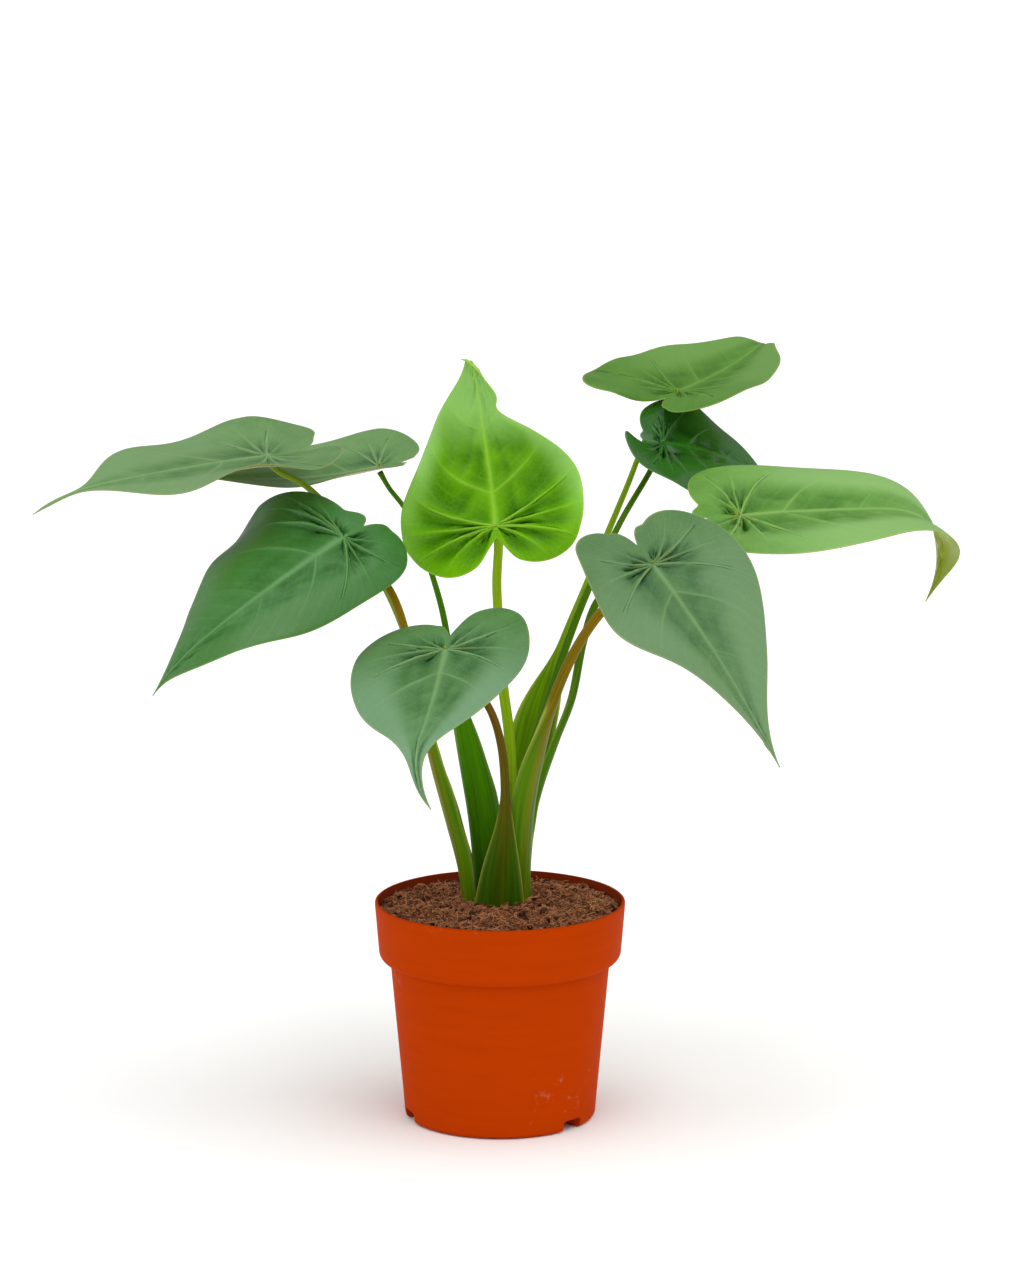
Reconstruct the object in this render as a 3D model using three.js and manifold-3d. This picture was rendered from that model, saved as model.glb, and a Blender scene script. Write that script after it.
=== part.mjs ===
// A potted Chinese taro, Alocasia cucullata: nine heart-shaped leaves on sheathed stalks, in a nursery pot.
// Millimetres, +Z up. The origin is the centre of the pot's underside, and the front view looks along +Y.

import * as THREE from "three";
import { mergeVertices } from "three/addons/utils/BufferGeometryUtils.js";
import Module from "manifold-3d";

const wasm = await Module();
wasm.setup();

// Pot: a moulded nursery pot with a deep collar
const potHeight = 107;
const potRimRadius = 61;
const collarBottomZ = 78;
const collarBottomRadius = 53.4;
const footRadius = 44;
const potWall = 1.4;
const footRingWidth = 5;
const underRecess = 3.5;
const centrePadRadius = 14;
const drainHoleCount = 8;
const drainHoleRadius = 3.5;
const drainCircleRadius = 31;
const footNotchCount = 3;
const footNotchWidth = 12.5;
const footNotchHeight = 5.5;
const firstNotchAngle = -41;
const potSides = 44;

// The inside of the pot's wall from the rim down, as radius and height
const potInside = [[59, 107], [56.8, 83.5], [52, 79.5], [44.6, 8], [42.5, underRecess + potWall]];

// Soil: rises in a low mound towards the stalks
const gap = 0.35;
const wallGap = 0.6;
const soilFloorZ = underRecess + potWall + gap;
const soilEdgeZ = 102.5;
const soilMound = 3;
const soilRoughness = 0.7;
const soilRings = 7;

// Crown: where the stalks stand together, a little behind the pot's middle
const crown = { x: 0, y: 3.5 };
const crownHole = { alongX: 21.5, alongY: 19 };
const cormFloorZ = 62;
const cormTopZ = 90;
const stalkFootZ = cormTopZ + gap;

// Blade: the half outline of a leaf one unit long from hub to tip, from the tip round the lobe to the notch.
// The first number runs along the midrib from the hub, the second away from it.
const bladeThickness = 0.8;
const halfOutline = [
  [1, 0], [0.94, 0.012], [0.87, 0.036], [0.78, 0.085], [0.66, 0.165], [0.52, 0.262], [0.37, 0.352],
  [0.21, 0.415], [0.05, 0.44], [-0.08, 0.425], [-0.19, 0.36], [-0.26, 0.26], [-0.275, 0.16],
  [-0.235, 0.075], [-0.165, 0.028], [-0.1, 0],
];
const halfWidth = 0.44;
const lobeReach = 0.28;
const lobeStart = -0.1;
const seamWidth = 0.1;
const veinSlant = 0.9;
const veinBow = 0.3;
const nickPlace = 0.62;
const nickWidth = 0.05;
const marginSteps = 22;
const veinSteps = 4;
const midribSteps = 60;

// Stalk
const stalkSides = 10;
const stalkSteps = 13;
const hubClearance = 1.2;
const hubNeck = 7;
const neckLean = 0.1;
const sheathThickness = 1.8;

// Every leaf. Lengths are in mm and angles in degrees. Pairs are for the left and right half.
//   hub: where the stalk meets the blade; heading, pitch and roll turn the blade there
//   width and lobes: each half against the plain outline; notch and spread: depth and width between the lobes
//   fullness and taper: broader middle, narrower end; nick: a dip in the margin
//   arch, droop and droopFrom: bend down all along, and near the tip; sideways: bend to the left
//   fold: rise of each half from the midrib; cup: its curl back down; twist: turn towards the tip
//   lobesDown and lift: bend of the lobes behind the hub, and lift of each
//   wave, waves and wavePhase: height, number and place of the waves along the margin
//   path: the middle of the stalk, from the soil up; faces: the way its back looks
//   sheath: the foot's half width and bend, how far up it stays full and reaches; rod: radii above it
const leaves = [
  {
    name: "leaf_1", colour: 0x3f7a45,
    hub: [-111, 6, 324], heading: 196, pitch: -5, roll: 8, length: 124,
    width: [1.04, 1.04], lobes: [0.9, 0.85], notch: 1, spread: [0, 0],
    fullness: 0, taper: [0.85, 0.85], nick: [0, 0],
    arch: 5, droop: 14, droopFrom: 0.6, sideways: 31, fold: [-8, 8], cup: -10, twist: -14,
    lobesDown: -3, lift: [3.5, 5], wave: 4.6, waves: 1.5, wavePhase: [-0.05, 0.32],
    path: [[-12, 10, 104], [-15, 11, 126], [-22, 12, 154], [-34, 13, 196],
      [-45, 13, 240], [-68, 10, 281], [-94, 8, 310]],
    faces: 160, sheath: { half: 5.2, bend: 35, full: 0.1, top: 0.45 }, rod: [2.7, 1.5],
  },
  {
    name: "leaf_2", colour: 0x3d7545,
    hub: [-59, 45, 312], heading: 183, pitch: -13, roll: -5, length: 89,
    width: [1.04, 0.98], lobes: [0.5, 0.85], notch: 1, spread: [0, 0],
    fullness: 0.02, taper: [0.05, 0.05], nick: [0, 0],
    arch: -23, droop: 4, droopFrom: 0.6, sideways: 0, fold: [12, 10], cup: -5, twist: -13,
    lobesDown: 11, lift: [-1.5, -1], wave: 1.4, waves: 1.5, wavePhase: [-0.05, 0.32],
    path: [[-7.5, 7.3, 104], [-8.3, 9.2, 126], [-11, 13, 150], [-15, 18, 172],
      [-22, 26, 206], [-29, 34, 247], [-45, 42, 290]],
    faces: 143, sheath: { half: 8.5, bend: 55, full: 0.2, top: 0.66 }, rod: [2.6, 1.2],
  },
  {
    name: "leaf_3", colour: 0x2f6b3a,
    hub: [-73, -50, 294.5], heading: 218, pitch: -22, roll: -45, length: 124,
    width: [0.58, 1.22], lobes: [0.95, 0.45], notch: 1, spread: [0, 0],
    fullness: 0.12, taper: [-0.5, -0.5], nick: [0, 0],
    arch: 34, droop: 38, droopFrom: 0.6, sideways: -2, fold: [2, -10], cup: 45, twist: 36,
    lobesDown: 26, lift: [-5.5, -3], wave: 5.4, waves: 1.5, wavePhase: [0.2, 0.57],
    path: [[-15.5, 1, 104], [-18, -1, 122], [-24, -4, 146], [-31, -11, 176],
      [-40, -25, 224], [-52, -40, 268]],
    faces: 195, sheath: { half: 6, bend: 35, full: 0.1, top: 0.5 }, rod: [2.8, 1.8],
  },
  {
    name: "leaf_4", colour: 0x6fb92e,
    hub: [-2, -8, 292.5], heading: 98, pitch: 63, roll: -27, length: 95,
    width: [1.204, 1.1], lobes: [0.79, 0.77], notch: 0.58, spread: [0.095, 0.1],
    fullness: 0.02, taper: [0.192, -0.058], nick: [0, 0.44],
    arch: -57, droop: -48, droopFrom: 0.7, sideways: -20, fold: [8, 13], cup: 27, twist: -28,
    lobesDown: 30, lift: [7.5, -5.6], wave: 4.88, waves: 1.52, wavePhase: [0.03, 0.348],
    path: [[-0.8, 4.5, 104], [-0.2, 6, 130], [1, 7.5, 160], [1.6, 8, 195], [0.5, 6, 225], [-1.5, 3, 260]],
    faces: 90, sheath: { half: 3.2, bend: 20, full: 0, top: 0.45 }, rod: [2.7, 1.7],
  },
  {
    name: "leaf_5", colour: 0x4c8558,
    hub: [-25, -78, 246.5], heading: -98, pitch: -26, roll: 18, length: 107,
    width: [0.84, 0.94], lobes: [1.25, 0.9], notch: 1, spread: [0, 0],
    fullness: 0.04, taper: [0.6, 0.6], nick: [0, 0],
    arch: -6, droop: 103, droopFrom: 0.6, sideways: -11, fold: [-2, 18], cup: 22, twist: 8,
    lobesDown: 15, lift: [0, -2.5], wave: 1.8, waves: 1.5, wavePhase: [-0.4, -0.03],
    path: [[0, -10.5, 104], [1, -12, 124], [2.2, -16, 147], [2.5, -22, 169],
      [0.5, -33, 192], [-5, -50, 213], [-14, -66, 228]],
    faces: -90, sheath: { half: 10.5, bend: 50, full: 0, top: 0.4 }, rod: [2.6, 1.7],
  },
  {
    name: "leaf_6", colour: 0x4a8353,
    hub: [71, -74, 286], heading: -34, pitch: -46, roll: 5, length: 113,
    width: [0.94, 1.16], lobes: [0.7, 0.8], notch: 1, spread: [0, 0],
    fullness: 0.12, taper: [0.1, 0.1], nick: [0, 0],
    arch: 7, droop: -2, droopFrom: 0.6, sideways: -10, fold: [19, 8], cup: 7, twist: -14,
    lobesDown: 6, lift: [1, -4], wave: 4, waves: 1.5, wavePhase: [0, 0.37],
    path: [[10.5, -0.5, 104], [12, -5, 127], [14.5, -11, 152], [18, -18.5, 176],
      [24, -29, 205], [35, -43, 241], [47, -57, 262]],
    faces: -52, sheath: { half: 8.6, bend: 50, full: 0.3, top: 0.66 }, rod: [3.3, 2.2],
  },
  {
    name: "leaf_7", colour: 0x3f7a40,
    hub: [88.5, 106, 339.5], heading: 47, pitch: 8.7, roll: 10.3, length: 96,
    width: [1.02, 1], lobes: [1.42, 0.8], notch: 1, spread: [0, 0],
    fullness: 0.01, taper: [-0.093, 0.395], nick: [0, 0],
    arch: -12.2, droop: 118.5, droopFrom: 0.645, sideways: 25, fold: [7.4, 17.9], cup: 3.7, twist: 0.5,
    lobesDown: 20, lift: [10.4, -2.8], wave: -0.81, waves: 2.63, wavePhase: [-0.196, -0.355],
    path: [[8, 14, 104], [10, 16, 127], [14, 19, 154], [20, 25, 184],
      [27.5, 36, 217], [42, 56, 251], [61.5, 84, 293], [77, 106, 325]],
    faces: 30, sheath: { half: 5.5, bend: 35, full: 0.2, top: 0.55 }, rod: [2.7, 1.3],
  },
  {
    name: "leaf_8", colour: 0x24602c,
    hub: [80, 76, 318.5], heading: 8, pitch: -7, roll: 22, length: 71,
    width: [1.02, 1.08], lobes: [0.55, 1.15], notch: 1, spread: [0, 0],
    fullness: 0.04, taper: [0.3, 0.3], nick: [0, 0],
    arch: 38, droop: 15, droopFrom: 0.6, sideways: -1, fold: [19, 3], cup: 16, twist: -2,
    lobesDown: -1, lift: [2.5, 8.5], wave: 3.4, waves: 1.5, wavePhase: [0, 0.37],
    path: [[6, 7, 104], [7.5, 7.5, 130], [10.5, 9, 158], [17, 13, 184],
      [28.5, 24, 217], [41.5, 35, 250], [58.5, 53, 283]],
    faces: 60, sheath: { half: 4.6, bend: 35, full: 0, top: 0.45 }, rod: [2.6, 1.4],
  },
  {
    name: "leaf_9", colour: 0x4b8a42,
    hub: [115, 2, 295.5], heading: 10, pitch: 3, roll: 19, length: 144,
    width: [0.86, 0.82], lobes: [0.5, 1], notch: 1, spread: [0, 0],
    fullness: 0.1, taper: [-0.5, -0.5], nick: [0, 0],
    arch: 12, droop: 105, droopFrom: 0.45, sideways: 12, fold: [6, 20], cup: 25, twist: 4,
    lobesDown: -1, lift: [3, 0], wave: 2.4, waves: 1.5, wavePhase: [0.2, 0.57],
    path: [[16, 10.8, 104], [18.5, 10.6, 126], [23.3, 9.2, 152], [30, 8, 184],
      [38, 7, 219], [47, 6, 249], [70, 4, 273], [98, 2.5, 284]],
    faces: 20, sheath: { half: 4.4, bend: 40, full: 0, top: 0.45 }, rod: [2.6, 1.6],
  },
];

const radians = THREE.MathUtils.degToRad;
const clamp = THREE.MathUtils.clamp;
const lerp = THREE.MathUtils.lerp;
const vector = (x, y, z) => new THREE.Vector3(x, y, z);
const ease = (t) => THREE.MathUtils.smoothstep(t, 0, 1);

// Meshes and solids

function geometryOf(positions, triangles) {
  const geometry = new THREE.BufferGeometry();
  const flat = positions.flatMap((p) => p.toArray());
  geometry.setAttribute("position", new THREE.Float32BufferAttribute(flat, 3));
  geometry.setIndex(triangles.flat());
  return geometry;
}

function solidOf(geometry) {
  const bare = geometry.clone();
  bare.deleteAttribute("normal");
  bare.deleteAttribute("uv");
  const merged = mergeVertices(bare, 1e-4);
  return new wasm.Manifold(new wasm.Mesh({
    numProp: 3,
    vertProperties: new Float32Array(merged.attributes.position.array),
    triVerts: new Uint32Array(merged.index.array),
  }));
}

// A cut can leave loose scraps, so only the largest piece is kept.
function geometryFrom(solid) {
  const pieces = solid.decompose();
  const largest = pieces.reduce((a, b) => (a.volume() > b.volume() ? a : b));
  const mesh = largest.getMesh();
  const geometry = new THREE.BufferGeometry();
  geometry.setAttribute("position", new THREE.Float32BufferAttribute(mesh.vertProperties, mesh.numProp));
  geometry.setIndex([...mesh.triVerts]);
  return geometry;
}

function uprightLathe(profile, sides) {
  const geometry = new THREE.LatheGeometry(profile.map(([r, z]) => new THREE.Vector2(r, z)), sides);
  return geometry.rotateX(Math.PI / 2);
}

// The pot

function roundedCorner(centreR, centreZ, radius, fromAngle, toAngle, steps) {
  const points = [];
  for (let i = 0; i <= steps; i++) {
    const angle = radians(lerp(fromAngle, toAngle, i / steps));
    points.push([centreR + radius * Math.cos(angle), centreZ + radius * Math.sin(angle)]);
  }
  return points;
}

function potProfile() {
  const footCorner = 2.5;
  const collarTopRadius = potRimRadius - 0.3;
  const shoulder = 4.5;
  const ringInner = footRadius - footRingWidth;
  const floorTopZ = underRecess + potWall;
  return [
    [0, 0],
    [centrePadRadius, 0],
    [centrePadRadius + 1, underRecess],
    [ringInner - 1, underRecess],
    [ringInner, 0],
    [footRadius, 0],
    ...roundedCorner(footRadius, footCorner, footCorner, -60, 0, 2),
    [collarBottomRadius, collarBottomZ],
    ...roundedCorner(collarBottomRadius + 0.9, collarBottomZ + shoulder, shoulder, -80, -8, 4),
    [collarTopRadius, potHeight - 0.8],
    [collarTopRadius - 0.5, potHeight],
    ...potInside,
    [centrePadRadius + 1, floorTopZ],
    [0, floorTopZ],
  ];
}

function drainHole(angle) {
  const hole = new THREE.CylinderGeometry(drainHoleRadius, drainHoleRadius, 3 * underRecess, 12);
  hole.rotateX(Math.PI / 2);
  const [x, y] = [drainCircleRadius * Math.cos(angle), drainCircleRadius * Math.sin(angle)];
  return hole.translate(x, y, underRecess);
}

// A low arch through the foot ring
function footNotch(angle) {
  const shape = new THREE.Shape();
  const half = footNotchWidth / 2;
  const corner = 1.8;
  shape.moveTo(-half, -2);
  shape.lineTo(half, -2);
  shape.lineTo(half - 0.6, footNotchHeight - corner);
  shape.quadraticCurveTo(half - 0.8, footNotchHeight, half - 0.8 - corner, footNotchHeight);
  shape.lineTo(corner + 0.8 - half, footNotchHeight);
  shape.quadraticCurveTo(0.8 - half, footNotchHeight, 0.6 - half, footNotchHeight - corner);
  const depth = footRingWidth + 6;
  const cutter = new THREE.ExtrudeGeometry(shape, { depth, bevelEnabled: false, curveSegments: 2 });
  cutter.rotateX(Math.PI / 2);
  cutter.translate(0, footRadius + 4, 0);
  cutter.rotateZ(angle - Math.PI / 2);
  return cutter;
}

function potGeometry() {
  let pot = solidOf(uprightLathe(potProfile(), potSides));
  for (let i = 0; i < drainHoleCount; i++) {
    pot = pot.subtract(solidOf(drainHole((i + 0.5) * 2 * Math.PI / drainHoleCount)));
  }
  for (let i = 0; i < footNotchCount; i++) {
    pot = pot.subtract(solidOf(footNotch(radians(firstNotchAngle) + i * 2 * Math.PI / footNotchCount)));
  }
  return geometryFrom(pot);
}

// The soil and the corm

// Lumps of potting mix, from a few crossing ripples
function soilLump(x, y) {
  return Math.sin(x * 0.23 + 1.3) * Math.cos(y * 0.27 - 0.6)
    + 0.7 * Math.sin(x * 0.41 - y * 0.33 + 2.1)
    + 0.5 * Math.cos(x * 0.62 + y * 0.51);
}

function soilTop(x, y) {
  const reach = Math.hypot(x - crown.x, y - crown.y) / potRimRadius;
  const mound = soilMound * ease(1 - reach);
  return soilEdgeZ + mound + soilRoughness * soilLump(x, y);
}

// The radius of the pot's inside at a height, less the gap
function soilRadiusAt(z) {
  const below = potInside.findIndex(([, height]) => height <= z);
  const [[highRadius, highZ], [lowRadius, lowZ]] = [potInside[below - 1], potInside[below]];
  return lerp(lowRadius, highRadius, (z - lowZ) / (highZ - lowZ)) - wallGap;
}

function soilGeometry() {
  const points = [];
  const triangles = [];
  const topRadius = soilRadiusAt(soilEdgeZ - soilRoughness);
  const rings = [];
  const addRing = (radius, heightAt) => {
    const start = points.length;
    for (let j = 0; j < potSides; j++) {
      const angle = 2 * Math.PI * j / potSides;
      const x = radius * Math.cos(angle);
      const y = radius * Math.sin(angle);
      points.push(vector(x, y, heightAt(x, y)));
    }
    rings.push(start);
  };
  points.push(vector(0, 0, soilTop(0, 0)));
  for (let i = 1; i <= soilRings; i++) addRing(topRadius * i / soilRings, soilTop);
  for (const [, height] of potInside.slice(1)) {
    const z = Math.max(height, soilFloorZ);
    addRing(soilRadiusAt(z), () => z);
  }
  for (let j = 0; j < potSides; j++) triangles.push([0, rings[0] + j, rings[0] + (j + 1) % potSides]);
  for (let i = 1; i < rings.length; i++) {
    for (let j = 0; j < potSides; j++) {
      const k = (j + 1) % potSides;
      const [a, b, c, d] = [rings[i - 1] + j, rings[i] + j, rings[i] + k, rings[i - 1] + k];
      triangles.push([a, b, c], [a, c, d]);
    }
  }
  const bottom = points.push(vector(0, 0, soilFloorZ)) - 1;
  const last = rings.at(-1);
  for (let j = 0; j < potSides; j++) triangles.push([bottom, last + (j + 1) % potSides, last + j]);

  const hole = new THREE.CylinderGeometry(1, 1, 80, 28);
  hole.rotateX(Math.PI / 2);
  hole.scale(crownHole.alongX, crownHole.alongY, 1);
  hole.translate(crown.x, crown.y, cormFloorZ + 40);
  return geometryFrom(solidOf(geometryOf(points, triangles)).subtract(solidOf(hole)));
}

// A squat tuber with rings where old leaves have dropped
function cormGeometry() {
  const height = cormTopZ - cormFloorZ - gap;
  const profile = [[0, 0], [0.45, 0.04], [0.72, 0.16], [0.86, 0.36], [0.84, 0.42], [0.95, 0.58], [0.91, 0.65],
    [0.97, 0.8], [0.9, 0.92], [0.76, 1], [0, 1]];
  const corm = uprightLathe(profile.map(([r, z]) => [r, z * height]), 20);
  corm.scale(crownHole.alongX - 0.8, crownHole.alongY - 0.8, 1);
  corm.translate(crown.x, crown.y, cormFloorZ + gap);
  return geometryFrom(solidOf(corm));
}

// The leaf blade

const outlineCurve = new THREE.SplineCurve(halfOutline.map(([u, v]) => new THREE.Vector2(u, v)));

// A point on one half's margin, from the tip (0) to the notch (1)
function marginPoint(leaf, side, t) {
  const { x: u, y } = outlineCurve.getPoint(t);
  const v = Math.max(y, 0);
  const narrowed = 1 - leaf.taper[side] * Math.exp(-(((u - 0.8) / 0.17) ** 2));
  const filled = leaf.fullness * Math.exp(-(((u - 0.45) / 0.22) ** 2));
  const nicked = 1 - leaf.nick[side] * Math.exp(-(((u - nickPlace) / nickWidth) ** 2));
  const spread = leaf.spread[side] * Math.max(lobeStart - u, 0);
  const across = (v * (narrowed + filled) + spread) * nicked;
  const lobe = lerp(leaf.notch, leaf.lobes[side], ease(across / seamWidth));
  return [u < 0 ? u * lobe : u, across];
}

// The bent midrib: places and angles at even steps from hub to tip, in the blade's own frame
function midribOf(leaf) {
  const step = leaf.length / midribSteps;
  const stations = [];
  let [x, y, z] = [0, 0, 0];
  let last = null;
  for (let i = 0; i <= midribSteps; i++) {
    const s = i / midribSteps;
    const down = radians(leaf.arch * s + leaf.droop * ease((s - leaf.droopFrom) / (1 - leaf.droopFrom)));
    const turn = radians(leaf.sideways * s * s);
    const along = [Math.cos(down) * Math.cos(turn), Math.cos(down) * Math.sin(turn), -Math.sin(down)];
    if (last) {
      x += step * (last[0] + along[0]) / 2;
      y += step * (last[1] + along[1]) / 2;
      z += step * (last[2] + along[2]) / 2;
    }
    stations.push({ x, y, z, down, turn });
    last = along;
  }
  return stations;
}

function stationAt(leaf, stations, u) {
  if (u >= 0) {
    const place = clamp(u, 0, 1) * midribSteps;
    const i = Math.min(Math.floor(place), midribSteps - 1);
    const mix = (key) => lerp(stations[i][key], stations[i + 1][key], place - i);
    return { x: mix("x"), y: mix("y"), z: mix("z"), down: mix("down"), turn: mix("turn") };
  }
  const curve = radians(leaf.lobesDown || 0.1) / lobeReach;
  const angle = -u * curve;
  return {
    x: -Math.sin(angle) / curve * leaf.length,
    y: 0,
    z: -(1 - Math.cos(angle)) / curve * leaf.length,
    down: -angle,
    turn: 0,
  };
}

// Axes of the blade at its hub: along the midrib, to the left, and out of the upper face
function bladeAxes(leaf) {
  const [h, p, r] = [leaf.heading, leaf.pitch, leaf.roll].map(radians);
  const along = vector(Math.cos(h) * Math.cos(p), Math.sin(h) * Math.cos(p), Math.sin(p));
  const level = vector(-Math.sin(h), Math.cos(h), 0);
  const raised = along.clone().cross(level);
  const left = level.clone().multiplyScalar(Math.cos(r)).addScaledVector(raised, Math.sin(r));
  const up = along.clone().cross(left);
  return { along, left, up };
}

// The blade's middle surface: u along the midrib, v across (positive on the left), in leaf lengths
function bladeSurface(leaf) {
  const stations = midribOf(leaf);
  const axes = bladeAxes(leaf);
  const hub = vector(...leaf.hub);
  const cup = radians(leaf.cup || 0.1) / (halfWidth * leaf.length);
  return (u, v, side) => {
    const station = stationAt(leaf, stations, u);
    const across = Math.abs(v) * leaf.length * leaf.width[side];
    const fold = radians(leaf.fold[side]);
    const here = fold - cup * across;
    const reach = clamp(across / (halfWidth * leaf.length), 0, 1.2);
    const lobeLift = leaf.lift[side] * ease(Math.abs(v) / seamWidth) * (Math.min(u, 0) / lobeReach) ** 2;
    const ripple = Math.sin(2 * Math.PI * (leaf.waves * u + leaf.wavePhase[side]));
    const sideways = (side === 0 ? 1 : -1) * (Math.sin(fold) - Math.sin(here)) / cup;
    const upwards = (Math.cos(here) - Math.cos(fold)) / cup + lobeLift + leaf.wave * reach * reach * ripple;
    const twist = radians(leaf.twist) * clamp(u, 0, 1);
    const y = sideways * Math.cos(twist) - upwards * Math.sin(twist);
    const z = sideways * Math.sin(twist) + upwards * Math.cos(twist);
    const tangent = vector(
      Math.cos(station.down) * Math.cos(station.turn),
      Math.cos(station.down) * Math.sin(station.turn),
      -Math.sin(station.down),
    );
    const beside = vector(-Math.sin(station.turn), Math.cos(station.turn), 0);
    const above = tangent.cross(beside);
    const middle = vector(station.x, station.y, station.z);
    const local = middle.addScaledVector(beside, y).addScaledVector(above, z);
    return hub.clone()
      .addScaledVector(axes.along, local.x)
      .addScaledVector(axes.left, local.y)
      .addScaledVector(axes.up, local.z);
  };
}

// Where on the midrib the two veins start that end at a place on the margins
function veinStart(leaf, t) {
  const [[u, left], [, right]] = [marginPoint(leaf, 0, t), marginPoint(leaf, 1, t)];
  return Math.max(0, u - veinSlant * (left + right) / 2);
}

// A point on a side vein, which leaves the midrib at a slant and bows towards the tip
function veinPoint(startU, [marginU, marginV], t) {
  const bowU = startU + 0.5 * (marginU - startU) * (1 - veinBow);
  const bowV = 0.5 * marginV * (1 + veinBow);
  const [a, b, c] = [(1 - t) ** 2, 2 * t * (1 - t), t * t];
  return [a * startU + b * bowU + c * marginU, b * bowV + c * marginV];
}

function bladeGeometry(leaf) {
  const surface = bladeSurface(leaf);
  const nudge = 0.004;
  const normalAt = (u, v, side) => {
    const sign = side === 0 ? 1 : -1;
    const inner = Math.max(v - nudge, 0);
    const along = surface(u + nudge, v, side).sub(surface(u - nudge, v, side));
    const across = v > nudge
      ? surface(u, v + nudge, side).sub(surface(u, inner, side)).multiplyScalar(sign)
      : surface(u, nudge, 0).sub(surface(u, nudge, 1));
    return along.cross(across).normalize();
  };
  const upper = [];
  const lower = [];
  const keys = new Map();
  const vertex = (u, v, side) => {
    const key = `${u.toFixed(5)},${v.toFixed(5)},${v < 1e-6 ? 0 : side}`;
    if (!keys.has(key)) {
      const middle = surface(u, v, side);
      const offset = normalAt(Math.min(u, 0.99), v, side).multiplyScalar(bladeThickness / 2);
      keys.set(key, upper.length);
      upper.push(middle.clone().add(offset));
      lower.push(middle.sub(offset));
    }
    return keys.get(key);
  };
  const faces = [];
  const margins = [];
  for (const side of [0, 1]) {
    const rows = [];
    for (let i = 0; i <= marginSteps; i++) {
      const start = veinStart(leaf, i / marginSteps);
      const margin = marginPoint(leaf, side, i / marginSteps);
      const row = [];
      for (let j = 0; j <= veinSteps; j++) {
        const [u, v] = veinPoint(start, margin, j / veinSteps);
        row.push(vertex(u, v, side));
      }
      rows.push(row);
    }
    for (let i = 0; i < marginSteps; i++) {
      for (let j = 0; j < veinSteps; j++) {
        const [a, b, c, d] = [rows[i][j], rows[i + 1][j], rows[i + 1][j + 1], rows[i][j + 1]];
        const pair = [[a, b, c], [a, c, d]];
        faces.push(...(side === 0 ? pair.map(([p, q, r]) => [p, r, q]) : pair));
      }
    }
    margins.push(rows.map((row) => row[veinSteps]));
  }
  const whole = faces.filter(([p, q, r]) => p !== q && q !== r && r !== p);
  const count = upper.length;
  const triangles = whole.map((face) => [...face]);
  triangles.push(...whole.map(([p, q, r]) => [p + count, r + count, q + count]));
  for (const side of [0, 1]) {
    const edge = side === 0 ? margins[0] : [...margins[1]].reverse();
    for (let i = 0; i < marginSteps; i++) {
      const [a, b] = [edge[i], edge[i + 1]];
      triangles.push([a, a + count, b + count], [a, b + count, b]);
    }
  }
  return geometryOf([...upper, ...lower], triangles);
}

// The stalk: a round rod above, and below it a sheath with thin wings that clasps the younger stalks

function stalkCurve(leaf) {
  const { up } = bladeAxes(leaf);
  const hub = vector(...leaf.hub);
  const path = leaf.path.map((p) => vector(...p));
  const foot = path[0].clone().setZ(stalkFootZ);
  const top = hub.clone().addScaledVector(up, -bladeThickness / 2 - hubClearance);
  const neck = hub.clone().addScaledVector(up, -hubNeck).lerp(path.at(-1), neckLean);
  return new THREE.CatmullRomCurve3([foot, ...path, neck, top], false, "centripetal");
}

// Half width, half thickness and wing angle of the stalk's section, from foot (0) to hub (1)
function stalkSection(leaf, s) {
  const { half: wide, bend, full, top } = leaf.sheath;
  const [low, high] = leaf.rod;
  const rod = lerp(low, high, ease(s));
  const wings = 1 - ease((s - full) / (top - full));
  const half = lerp(rod, Math.max(rod, wide), wings);
  const thick = lerp(rod, Math.min(rod, sheathThickness), wings);
  return { half, thick, bend: radians(bend) * wings };
}

function stalkGeometry(leaf) {
  const curve = stalkCurve(leaf);
  const facing = radians(leaf.faces);
  let outward = vector(Math.cos(facing), Math.sin(facing), 0);
  const points = [];
  for (let i = 0; i <= stalkSteps; i++) {
    const s = (i / stalkSteps) ** 0.9;
    const centre = curve.getPointAt(s);
    const tangent = curve.getTangentAt(s);
    outward = outward.clone().addScaledVector(tangent, -outward.dot(tangent)).normalize();
    const across = tangent.clone().cross(outward);
    const { half, thick, bend } = stalkSection(leaf, s);
    for (let j = 0; j < stalkSides; j++) {
      const angle = 2 * Math.PI * j / stalkSides;
      const x = half * Math.cos(angle);
      const y = thick * Math.sin(angle);
      const turn = bend * x / half;
      const radius = bend > 0.01 ? half / bend : 1e4;
      const sideways = bend > 0.01 ? (radius + y) * Math.sin(turn) : x;
      const outwards = bend > 0.01 ? (radius + y) * Math.cos(turn) - radius : y;
      points.push(centre.clone().addScaledVector(across, sideways).addScaledVector(outward, outwards));
    }
  }
  const triangles = [];
  for (let i = 0; i < stalkSteps; i++) {
    for (let j = 0; j < stalkSides; j++) {
      const k = (j + 1) % stalkSides;
      const [low, high] = [i * stalkSides, (i + 1) * stalkSides];
      const [a, b, c, d] = [low + j, low + k, high + k, high + j];
      triangles.push([a, c, b], [a, d, c]);
    }
  }
  const top = stalkSteps * stalkSides;
  for (let j = 1; j < stalkSides - 1; j++) {
    triangles.push([0, j, j + 1], [top, top + j + 1, top + j]);
  }
  return geometryOf(points, triangles);
}

// Materials

const finish = (color, roughness) => new THREE.MeshStandardMaterial({ color, roughness, metalness: 0 });
const potPlastic = finish(0xc8450c, 0.5);
const pottingMix = finish(0x4a2c1e, 1);
const cormSkin = finish(0x7a5a3a, 0.9);
const stalkColours = [
  0x5c8a24, 0x3f7a1e, 0x6b5a20, 0x7fb51e, 0x7a5218, 0x6b5620, 0x5c9a14, 0x2f6a1c, 0x4d8a1c,
];

// The whole plant in its pot

const plant = new THREE.Group();
const addPiece = (name, geometry, material) => {
  const mesh = new THREE.Mesh(geometry, material);
  mesh.name = name;
  plant.add(mesh);
};

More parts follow.
